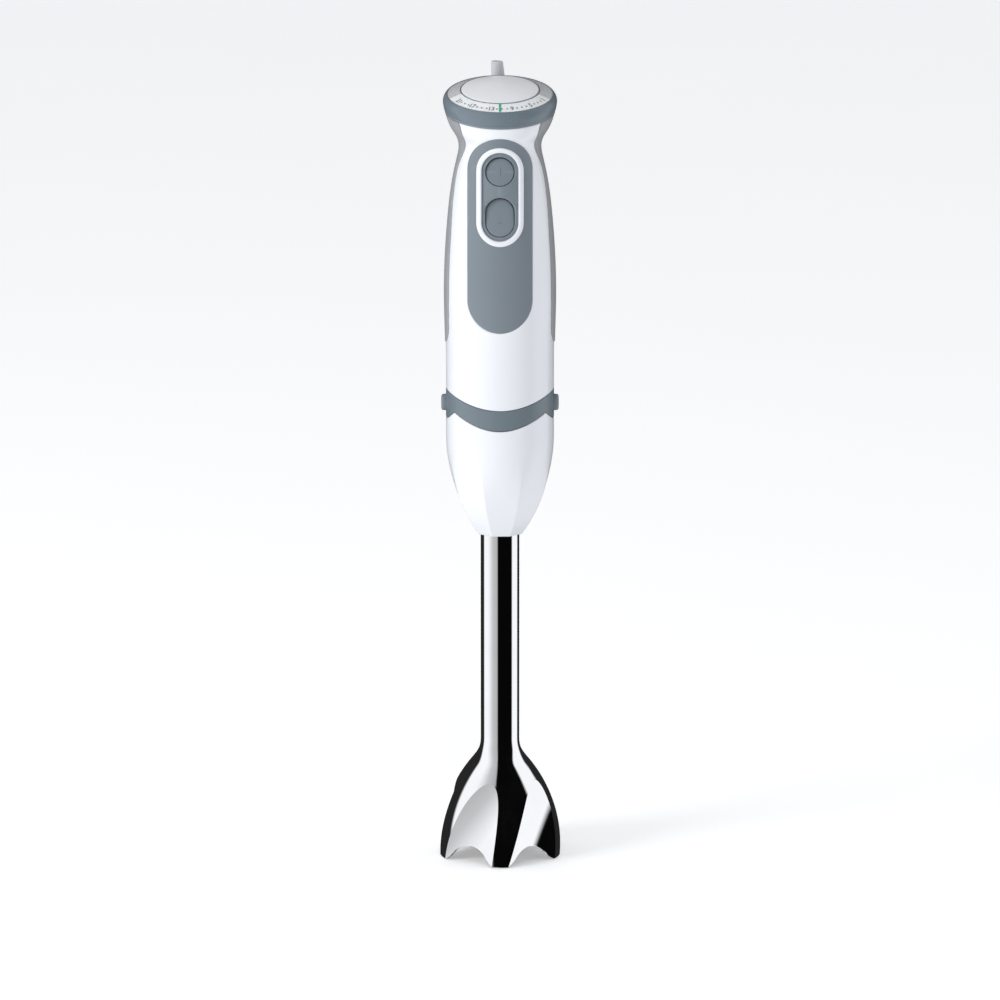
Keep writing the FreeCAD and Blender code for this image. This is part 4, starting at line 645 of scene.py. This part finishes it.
def make_release_button(side, body):
    cap = rounded([(0.01, 23.4), (5.8, 23.4, 0.3), (5.8, 24.6, 0.2), (RELEASE_RADIUS, 24.9),
                   (RELEASE_RADIUS, RELEASE_FACE - 0.1, 2.3), (1.2, RELEASE_FACE, 0.8), (0.01, RELEASE_FACE)], steps=9)
    place = Matrix.Translation((0, 0, RELEASE_HEIGHT)) @ Matrix.Rotation(side * math.pi / 2, 4, "Y")
    button = turned("%s_cap" % body, cap, button_plastic, 96, place)
    outline = [(21.8, 236), (23.4, 236), (23.4, 241.3), (11.8, 241.3), (11.8, 226), (15.6, 226), (15.6, 227.6),
               (13.6, 229), (13.6, 238), (21.8, 238)]
    points = [(side * x, y, z) for y in (-3, 3) for x, z in outline]
    count = len(outline)
    faces = [tuple(range(count)), tuple(range(count, 2 * count))[::-1]]
    faces += [(index, index + count, (index + 1) % count + count, (index + 1) % count) for index in range(count)]
    if side < 0:
        faces = [face[::-1] for face in faces]
    hook = mesh_object("%s_hook" % body, points, faces, button_plastic)
    soften(hook, 0.35)
    stand_in(button, body, "release_button_" + body.split("_")[1])
    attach(hook, body)


def soften(piece, width):
    """Rounds the sharp edges of a piece."""
    bevel = piece.modifiers.new("edge", "BEVEL")
    bevel.width = width * MM
    bevel.segments = 3
    bevel.limit_method = "ANGLE"
    bevel.angle_limit = math.radians(35)
    piece.modifiers.move(len(piece.modifiers) - 1, 0)


# ---------------------------------------------------------------- adaptor and tube

ADAPTOR_BOTTOM, ADAPTOR_SHOULDER, ADAPTOR_ARC = 165.5, 216.0, 88.4
FACET_START = -65.0
TUBE_RADIUS, TUBE_TOP = 9.7, 190.0


def adaptor_radius(level):
    drop = np.clip(ADAPTOR_SHOULDER - level, 0, None)
    return HANDLE_RADIUS - ADAPTOR_ARC + np.sqrt(ADAPTOR_ARC ** 2 - drop ** 2)


def facet(azimuth):
    """How much further out than a circle an eight-sided form with soft corners reaches."""
    centres = np.radians(FACET_START + 22.5 + 45 * np.arange(8))[:, None]
    spread = np.clip(np.cos(azimuth[None, :] - centres), 0, None)
    reach = (spread ** 160).sum(0) ** (-1 / 160)
    return reach / reach.mean()


def make_adaptor():
    azimuth = np.linspace(-math.pi, math.pi, 480, endpoint=False)
    y = -HANDLE_RADIUS * np.cos(azimuth)
    rim = lower_edge(y) - GAP / 2
    wall, collar = 2.2, 182.0

    def ring_at(radius, level, form=0.0):
        reach = radius * (1 + form * (facet(azimuth) - 1))
        return np.stack([reach * np.sin(azimuth), -reach * np.cos(azimuth), level + 0 * azimuth], -1)

    def form_at(level):
        fade = np.clip((210 - level) / 32, 0, 1)
        return float(fade * fade * (3 - 2 * fade))

    foot = [(TUBE_RADIUS + 0.05, 0.9), (TUBE_RADIUS + 0.1, 0.25), (TUBE_RADIUS + 0.35, 0.02), (10.6, 0.0)]
    rows = [ring_at(radius, ADAPTOR_BOTTOM + rise, 0.7) for radius, rise in foot]
    for rise, back in ((0.05, 0.2), (0.16, 0.08), (0.36, 0.02)):
        level = ADAPTOR_BOTTOM + rise
        rows.append(ring_at(adaptor_radius(level) - back, level, 1.0))
    for level in np.linspace(ADAPTOR_BOTTOM + 0.7, ADAPTOR_SHOULDER, 90):
        rows.append(ring_at(adaptor_radius(level), level, form_at(level)))
    for share in np.linspace(0, 1, 16)[1:]:
        rows.append(ring_at(HANDLE_RADIUS, ADAPTOR_SHOULDER + share * (rim - 0.6 - ADAPTOR_SHOULDER)))
    rows += [ring_at(HANDLE_RADIUS + offset, rim - rise) for offset, rise in EDGE[::-1][1:]]
    rows.append(ring_at(HANDLE_RADIUS - wall, rim))
    rows.append(ring_at(HANDLE_RADIUS - wall, ADAPTOR_SHOULDER))
    for level in np.linspace(ADAPTOR_SHOULDER, collar, 14)[1:]:
        rows.append(ring_at(adaptor_radius(level) - wall, level))
    rows.append(ring_at(TUBE_RADIUS + 0.02, collar))
    adaptor = grid_object("adaptor_bowl", np.array(rows), white_plastic, crease=50)
    stand_in(adaptor, "blending_shaft", "adaptor_shell")


def make_tube():
    levels = list(np.linspace(60.0, TUBE_TOP - 0.3, 60))
    profile = [(9.0, 60.0)] + [(TUBE_RADIUS, z) for z in levels]
    profile += [(9.6, TUBE_TOP), (9.0, TUBE_TOP), (9.0, 120)]
    tube = turned("tube_skin", profile, polished_steel, 256, closed=True)
    stand_in(tube, "blending_shaft", "shaft_tube")


# ---------------------------------------------------------------- bell

RIM_RADIUS, BELL_TOP, BELL_WALL = 30.7, 60.0, 0.8
ARC_RADIUS, ARC_HEIGHT, NECK_FILLET = 71.8, 3.3, 10.0
PANEL_MIDDLE, PANEL_PLAN, PANEL_ARC, PANEL_ARC_HEIGHT = 25.7, 60.0, 95.3, 9.0
PANEL_LEAN = math.tan(math.radians(10.5))
NOTCH_HALF, NOTCH_TOP, NOTCH_BASE = 19.4, 9.4, -1.0


def round_bell(z):
    """Radius of the bell between its panels, with the joint of its two curves eased."""
    return sum(bell_profile(z + step) for step in np.linspace(-3, 3, 9)) / 9


def bell_profile(z):
    centre = RIM_RADIUS - math.sqrt(ARC_RADIUS ** 2 - ARC_HEIGHT ** 2)
    neck_x = TUBE_RADIUS + NECK_FILLET
    neck_z = ARC_HEIGHT + math.sqrt((ARC_RADIUS + NECK_FILLET) ** 2 - (neck_x - centre) ** 2)
    joint = ARC_HEIGHT + (neck_z - ARC_HEIGHT) * ARC_RADIUS / (ARC_RADIUS + NECK_FILLET)
    lower = centre + np.sqrt(ARC_RADIUS ** 2 - (np.clip(z, -4, joint) - ARC_HEIGHT) ** 2)
    upper = neck_x - np.sqrt(NECK_FILLET ** 2 - (neck_z - np.clip(z, joint, neck_z)) ** 2)
    return np.where(z < joint, lower, np.where(z < neck_z, upper, TUBE_RADIUS))


def panel_drop(z):
    return PANEL_ARC - np.sqrt(PANEL_ARC ** 2 - (z - PANEL_ARC_HEIGHT) ** 2)


def panel_centre(z):
    """Distance from the axis to the centre of a panel's hollow curve."""
    return PANEL_MIDDLE - panel_drop(z) + PANEL_PLAN


def panel_surface(angle, z):
    """Radius of a panel at an angle from its own middle."""
    centre = panel_centre(z)
    return centre * np.cos(angle) - np.sqrt(np.clip(PANEL_PLAN ** 2 - (centre * np.sin(angle)) ** 2, 0, None))


def panel_half(z):
    """Half the angle that a panel covers at a height."""
    centre, radius = panel_centre(z), round_bell(z)
    reach = (radius ** 2 + centre ** 2 - PANEL_PLAN ** 2) / (2 * radius * centre)
    return np.where(z > 42, 0, np.arccos(np.clip(reach, -1, 1)))


def notch_edge(sideways):
    """Height of the bell's lower edge, at a distance from the middle of a notch: two S-shaped sides."""
    bend = (NOTCH_HALF ** 2 + NOTCH_TOP ** 2) / (4 * NOTCH_TOP)
    side = np.abs(sideways)
    crown = NOTCH_TOP - bend + np.sqrt(bend ** 2 - np.clip(side, 0, NOTCH_HALF / 2) ** 2)
    shoulder = bend - np.sqrt(bend ** 2 - np.clip(NOTCH_HALF - side, 0, NOTCH_HALF / 2) ** 2)
    return np.clip(NOTCH_BASE + np.where(side < NOTCH_HALF / 2, crown, shoulder), 0, None)


ACROSS_PANEL = np.linspace(-1, 1, 45)          # the mesh's columns over one fifth of the bell
BETWEEN_PANELS = np.linspace(0, 1, 22)[1:-1]
FIFTH = math.radians(72)


def bell_skin(z):
    """Angle and radius of each column of one fifth of the bell, at that column's height."""
    count = len(ACROSS_PANEL)
    half = panel_half(z)
    width = np.maximum(half, math.radians(1.2))
    across = np.concatenate([width[:count] * ACROSS_PANEL,
                             width[count:] + (FIFTH - 2 * width[count:]) * BETWEEN_PANELS])
    lean = z * PANEL_LEAN / (PANEL_MIDDLE - panel_drop(np.minimum(z, 46)))
    radius = round_bell(z)
    radius = np.where(np.abs(across) < half, np.minimum(radius, panel_surface(across, z)), radius)
    return across + lean, radius


def bell_foot():
    """Heights of the bell's lower edge, found by steps because the angles depend on them."""
    bottom = np.zeros(len(ACROSS_PANEL) + len(BETWEEN_PANELS))
    for _ in range(30):
        angle, radius = bell_skin(bottom)
        bottom = 0.5 * bottom + 0.5 * notch_edge(radius * np.sin(angle))
        next_notch = notch_edge(radius * np.sin(angle - FIFTH))
        bottom = np.where(angle > FIFTH / 2, 0.5 * bottom + 0.5 * next_notch, bottom)
    return bottom


def make_bell():
    bottom = bell_foot()
    path = [(-BELL_WALL, 0.6), (-BELL_WALL, 0.25), (-BELL_WALL + 0.12, 0.06), (-0.4, 0.0), (-0.12, 0.06), (0, 0.25)]
    rows = [(bottom + rise, offset) for offset, rise in path]
    shares = np.linspace(0, 1, 150)[1:]
    rows += [(bottom + 0.25 + share * (BELL_TOP - 0.25 - bottom), 0) for share in shares]
    rows += [(BELL_TOP + 0 * bottom, -0.7)]
    rows += [(BELL_TOP - 0.5 - share * (BELL_TOP - 0.5 - bottom - 0.6), -BELL_WALL - 0.15) for share in shares[:-1]]
    points = []
    for level, offset in rows:
        angle, radius = bell_skin(level)
        turn = np.concatenate([angle + (number - 0.75) * FIFTH for number in range(5)])
        reach = np.tile(radius + offset, 5)
        points.append(np.stack([reach * np.cos(turn), reach * np.sin(turn), np.tile(level, 5)], -1))
    points.append(points[0])
    bell = grid_object("bell_skin", np.array(points), polished_steel, crease=7)
    bell.modifiers.clear()
    stand_in(bell, "blending_shaft", "bell")


# ---------------------------------------------------------------- blade

BLADE_LEVEL, BLADE_THICK, BLADE_REACH = 15.0, 1.2, 22.5
BLADE_BEND, BLADE_RISE = 5.9, math.tan(math.radians(20))


def make_blade():
    """One steel strip, its wings bent up and down, with ground leading edges."""
    rows = []
    for along in np.linspace(-BLADE_REACH, BLADE_REACH, 91):
        out = abs(along)
        side = 1 if along > 0 else -1
        half = 5.5 - 1.5 * max(out - BLADE_BEND, 0) / (BLADE_REACH - BLADE_BEND)
        tip = min(1.0, max(BLADE_REACH - out, 0.02) / 2.2)
        half *= 0.72 + 0.28 * math.sqrt(1 - (1 - tip) ** 2)
        past = out - BLADE_BEND
        lift = 0.5 * (past + math.sqrt(past ** 2 + 2.0)) - 0.06
        rise = side * BLADE_RISE * lift if out > 2 else 0
        ground = min(1.0, max(past, 0) / 2)
        keen = BLADE_THICK * (1 - 0.92 * ground)
        lead = half - 3.2
        section = [(-half, 0.15), (-half + 0.15, 0), (lead, 0), (half, 0), (half, keen), (lead, BLADE_THICK),
                   (-half + 0.15, BLADE_THICK), (-half, BLADE_THICK - 0.15)]
        reach = side * min(out, BLADE_BEND) + side * max(past, 0) * math.cos(math.radians(20))
        rows.append([(side * x, reach, BLADE_LEVEL + rise + z) for x, z in section])
    rows = [row if index >= 45 else [row[0]] + row[:0:-1] for index, row in enumerate(rows)]
    points = np.array(rows)
    columns = points.shape[1]
    faces = grid_faces(len(points), columns, True)
    faces += [tuple(range(columns))[::-1], tuple(range(len(points) * columns - columns, len(points) * columns))]
    blade = mesh_object("blade_strip", points, faces, brushed_steel, crease=12)
    stand_in(blade, "drive_line", "blade")


# ---------------------------------------------------------------- speed dial

TURN = JOINTS["dial_turn"]
DIAL = Matrix.Translation(Vector(TURN["pos_m"]) / MM) @ Matrix.Rotation(-math.asin(TURN["axis"][1]), 4, "X")
LENS_INNER, LENS_OUTER, LENS_RISE = 19.7, 25.9, 2.2
SCALE_LOW = -0.25
MARK_FIRST, MARK_STEP, MARK_COUNT, MARK_RADIUS = -59.6, 6.2, 21, 23.4


def scale_height(radius):
    return SCALE_LOW + LENS_RISE * (LENS_OUTER - radius) / (LENS_OUTER - LENS_INNER)


def make_dial():
    ring = rounded([(25.9, -7.2), (27.6, -7.2, 0.5), (27.75, -6.6, 0.4), (28.3, -3.2, 2.5), (27.4, -1.0, 1.6),
                    (26.35, 0.05, 0.35), (25.9, 0.0, 0.1)], steps=8)
    grip = turned("dial_ring", ring, ring_plastic, 256, DIAL, crease=50, closed=True)
    stand_in(grip, "speed_dial", "dial_grip_ring")
    lens = rounded([(LENS_OUTER - 0.02, -0.12), (LENS_OUTER - 0.02, -0.02), (LENS_INNER + 0.02, LENS_RISE),
                    (LENS_INNER + 0.02, LENS_RISE - 0.1)])
    stand_in(turned("dial_window", lens, lens_clear, 256, DIAL, crease=30, closed=True), "speed_dial", "dial_lens")
    profile = [(0.01, -2), (18.9, -2), (19.1, LENS_RISE - 1.2)]
    sphere = (19.1 ** 2 + 2.1 ** 2) / (2 * 2.1)
    radii = np.linspace(18.9, 0.01, 40)
    crown = [(r, LENS_RISE + 0.2 + 2.1 - sphere + math.sqrt(sphere ** 2 - r ** 2)) for r in radii]
    dome = turned("dial_dome", profile + [(19.12, LENS_RISE - 0.1), (19.05, LENS_RISE + 0.1)] + crown,
                  dome_plastic, 200, DIAL)
    stand_in(dome, "speed_dial", "dial_cap")
    collar = rounded([(19.1, -2), (19.68, -2), (19.68, LENS_RISE + 0.1, 0.1), (19.3, LENS_RISE + 0.1, 0.1),
                      (19.2, 1.2)])
    rim = turned("dial_collar", collar, ring_plastic, 200, DIAL)
    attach(rim, "speed_dial")
    disc = [(19.8, -6), (25.85, scale_height(25.85) - 1), (25.85, scale_height(25.85)), (19.8, scale_height(19.8))]
    stand_in(turned("scale_face", disc, silver_scale, 200, DIAL, closed=True), "motor_unit", "scale_disc")
    seat = rounded([(3.1, -8.6), (27.2, -8.6, 0.25), (27.35, -7.25, 0.2), (3.1, -7.25)])
    stand_in(turned("dial_ledge", seat, grey_plastic, 200, DIAL, closed=True), "motor_unit", "dial_seat")


def on_scale(points, azimuth, radius, rise):
    """Flat (across, inward) points laid on the scale at an azimuth."""
    points = np.asarray(points, float)
    reach = radius - points[:, 1]
    turn = azimuth + points[:, 0] / reach
    laid = np.stack([reach * np.sin(turn), -reach * np.cos(turn), scale_height(reach) + rise], -1)
    return moved(laid, DIAL)


def print_on_scale(name, points, faces, azimuth, radius, ink, rise=0.09, body="motor_unit"):
    mark = mesh_object(name, on_scale(points, azimuth, radius, rise), faces, ink)
    mark.modifiers.clear()
    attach(mark, body)


def glyph(text, height):
    """Flat outline of some digits, in millimetres, centred."""
    curve = bpy.data.curves.new("digits", "FONT")
    curve.body = text
    curve.size = 1.38 * height
    curve.space_character = 0.95
    curve.offset = 0.035 * height
    writer = bpy.data.objects.new("digits", curve)
    bpy.context.scene.collection.objects.link(writer)
    mesh = bpy.data.meshes.new_from_object(writer.evaluated_get(bpy.context.evaluated_depsgraph_get()))
    points = np.array([vertex.co[:2] for vertex in mesh.vertices])
    faces = [tuple(face.vertices) for face in mesh.polygons]
    bpy.data.objects.remove(writer)
    points -= (points.min(0) + points.max(0)) / 2
    return points, faces


def make_scale_border():
    """The darker back part of the scale, outside the marked window."""
    turns, radii = np.radians(np.linspace(73, 285, 107)), np.linspace(19.85, 25.8, 7)
    laid = [np.stack([radii * np.sin(turn), -radii * np.cos(turn), scale_height(radii) + 0.05], -1)
            for turn in turns]
    border = grid_object("scale_border", moved(np.array(laid), DIAL), scale_grey, wrap=False)
    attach(border, "motor_unit")


def make_scale_marks():
    bend = np.linspace(0, 2 * math.pi, 20, endpoint=False)
    dot = np.stack([0.48 * np.cos(bend), 0.48 * np.sin(bend)], -1)
    for number in range(MARK_COUNT):
        azimuth = math.radians(MARK_FIRST + MARK_STEP * number)
        if number % 4:
            print_on_scale("scale_dot_%02d" % number, dot, [tuple(range(20))], azimuth, MARK_RADIUS, mark_ink)
        else:
            points, faces = glyph(str(21 - number), 2.6)
            print_on_scale("scale_digits_%02d" % number, points, faces, azimuth, MARK_RADIUS - 0.1, mark_ink)


def make_pointer():
    """The green line on the dial, over the middle of the scale."""
    rows = [(x, v) for v in np.linspace(-2.9, 3.0, 14) for x in (-0.5, 0.5)]
    faces = [(2 * n, 2 * n + 1, 2 * n + 3, 2 * n + 2) for n in range(13)]
    print_on_scale("dial_pointer", rows, faces, 0.0, 22.7, green_ink, rise=0.30, body="speed_dial")


def make_strain_relief():
    bore = 2.3
    foot, drift = 376.5, -1.5
    profile = rounded([(bore, foot), (3.65, foot), (3.65, 384.2), (3.6, 384.7, 0.2), (3.6, 387, 0.2),
                       (2.95, 397.9, 0.3), (2.7, 398.5, 0.3), (bore, 398.5, 0.1)])
    place = Matrix.Translation((-drift * foot / 22, 32.2, 0))
    place[0][2] = drift / 22
    relief = turned("relief_sleeve", profile, stub_plastic, 96, place, closed=True)
    stand_in(relief, "motor_unit", "strain_relief")


# ---------------------------------------------------------------- assembly

make_housing()
make_grip()
make_spout()
make_front()
make_button_plate()
make_button("on", [(0, 0.2, 0.5, 3.4)])
make_button("turbo", [(0, -2.6, 2.4, 0.45)])
make_band()
make_release_button(1, "release_right")
make_release_button(-1, "release_left")
make_adaptor()
make_tube()
make_bell()
make_blade()
make_dial()
make_scale_border()
make_scale_marks()
make_pointer()
make_strain_relief()


# ---------------------------------------------------------------- stage

def make_floor():
    mesh = bpy.data.meshes.new("floor")
    half, drop = 6.0, -0.0004
    mesh.from_pydata([(-half, -half, drop), (half, -half, drop), (half, half, drop), (-half, half, drop)], [],
                     [(0, 1, 2, 3)])
    floor = bpy.data.objects.new("floor", mesh)
    bpy.context.scene.collection.objects.link(floor)
    mesh.materials.append(Surface("floor_paint", (0.95, 0.95, 0.95), 0.9, Emission_Color=(1, 1, 1, 1),
                                  Emission_Strength=0.29).mottle(400, 0.004).material)
    floor.visible_glossy = False


def make_world():
    """A white studio: even and pale all round, with dark flags on both sides for the steel to reflect."""
    world = bpy.data.worlds.new("studio")
    bpy.context.scene.world = world
    world.use_nodes = True
    tree = world.node_tree
    back = tree.nodes["Background"]
    place = tree.nodes.new("ShaderNodeTexCoord")
    split = tree.nodes.new("ShaderNodeSeparateXYZ")
    turn = tree.nodes.new("ShaderNodeMath")
    turn.operation = "ARCTAN2"
    scale = tree.nodes.new("ShaderNodeMapRange")
    scale.inputs["From Min"].default_value = -math.pi
    scale.inputs["From Max"].default_value = math.pi
    flip = tree.nodes.new("ShaderNodeMath")
    flip.operation = "MULTIPLY"
    flip.inputs[1].default_value = -1
    ramp = tree.nodes.new("ShaderNodeValToRGB")
    tree.links.new(place.outputs["Generated"], split.inputs[0])
    tree.links.new(split.outputs["X"], turn.inputs[0])
    tree.links.new(split.outputs["Y"], flip.inputs[0])
    tree.links.new(flip.outputs[0], turn.inputs[1])
    tree.links.new(turn.outputs[0], scale.inputs["Value"])
    tree.links.new(scale.outputs["Result"], ramp.inputs["Fac"])
    stops = [(-180, 0.02), (-112, 0.02), (-106, 1.0), (-74, 1.0), (-62, 0.85), (-44, 0.58), (-17, 0.46),
             (-12, 0.002), (73, 0.002), (80, 1.0), (122, 1.0), (128, 0.02), (180, 0.02)]
    shades = ramp.color_ramp
    while len(shades.elements) < len(stops):
        shades.elements.new(0.5)
    for element, (azimuth, shade) in zip(shades.elements, stops):
        element.position = (azimuth + 180) / 360
        element.color = (shade, shade, shade * 1.02, 1)
    paths = tree.nodes.new("ShaderNodeLightPath")
    choose = tree.nodes.new("ShaderNodeMix")
    choose.data_type = "RGBA"
    choose.inputs["A"].default_value = (0.62, 0.63, 0.65, 1)
    tree.links.new(ramp.outputs["Color"], choose.inputs["B"])
    tree.links.new(paths.outputs["Is Glossy Ray"], choose.inputs["Factor"])
    tree.links.new(choose.outputs["Result"], back.inputs["Color"])
    back.inputs["Strength"].default_value = 1.0


def soft_light(name, place, aim, size, power):
    lamp = bpy.data.lights.new(name, "AREA")
    lamp.shape = "DISK"
    lamp.size = size
    lamp.energy = power
    light = bpy.data.objects.new(name, lamp)
    bpy.context.scene.collection.objects.link(light)
    light.location = place
    light.rotation_euler = (Vector(aim) - Vector(place)).to_track_quat("-Z", "Y").to_euler()
    light.visible_glossy = False


def make_camera():
    target = Vector((0, 0, 0.182))
    distance, elevation = 2.7, math.radians(11.7)
    lens = bpy.data.cameras.new("camera")
    lens.sensor_width = 36
    lens.lens = 194.4
    camera = bpy.data.objects.new("camera", lens)
    bpy.context.scene.collection.objects.link(camera)
    away = Vector((0, -math.cos(elevation), math.sin(elevation)))
    camera.location = target + away * distance
    camera.rotation_euler = (-away).to_track_quat("-Z", "Y").to_euler()
    lens.clip_start, lens.clip_end = 0.05, 50
    bpy.context.scene.camera = camera


make_floor()
make_world()
soft_light("key", (-2.0, -1.3, 1.0), (0, 0, 0.22), 1.0, 28)
soft_light("top", (0.1, -1.5, 2.1), (0, 0, 0.30), 0.5, 4)
make_camera()
bpy.context.scene.view_settings.view_transform = "Standard"
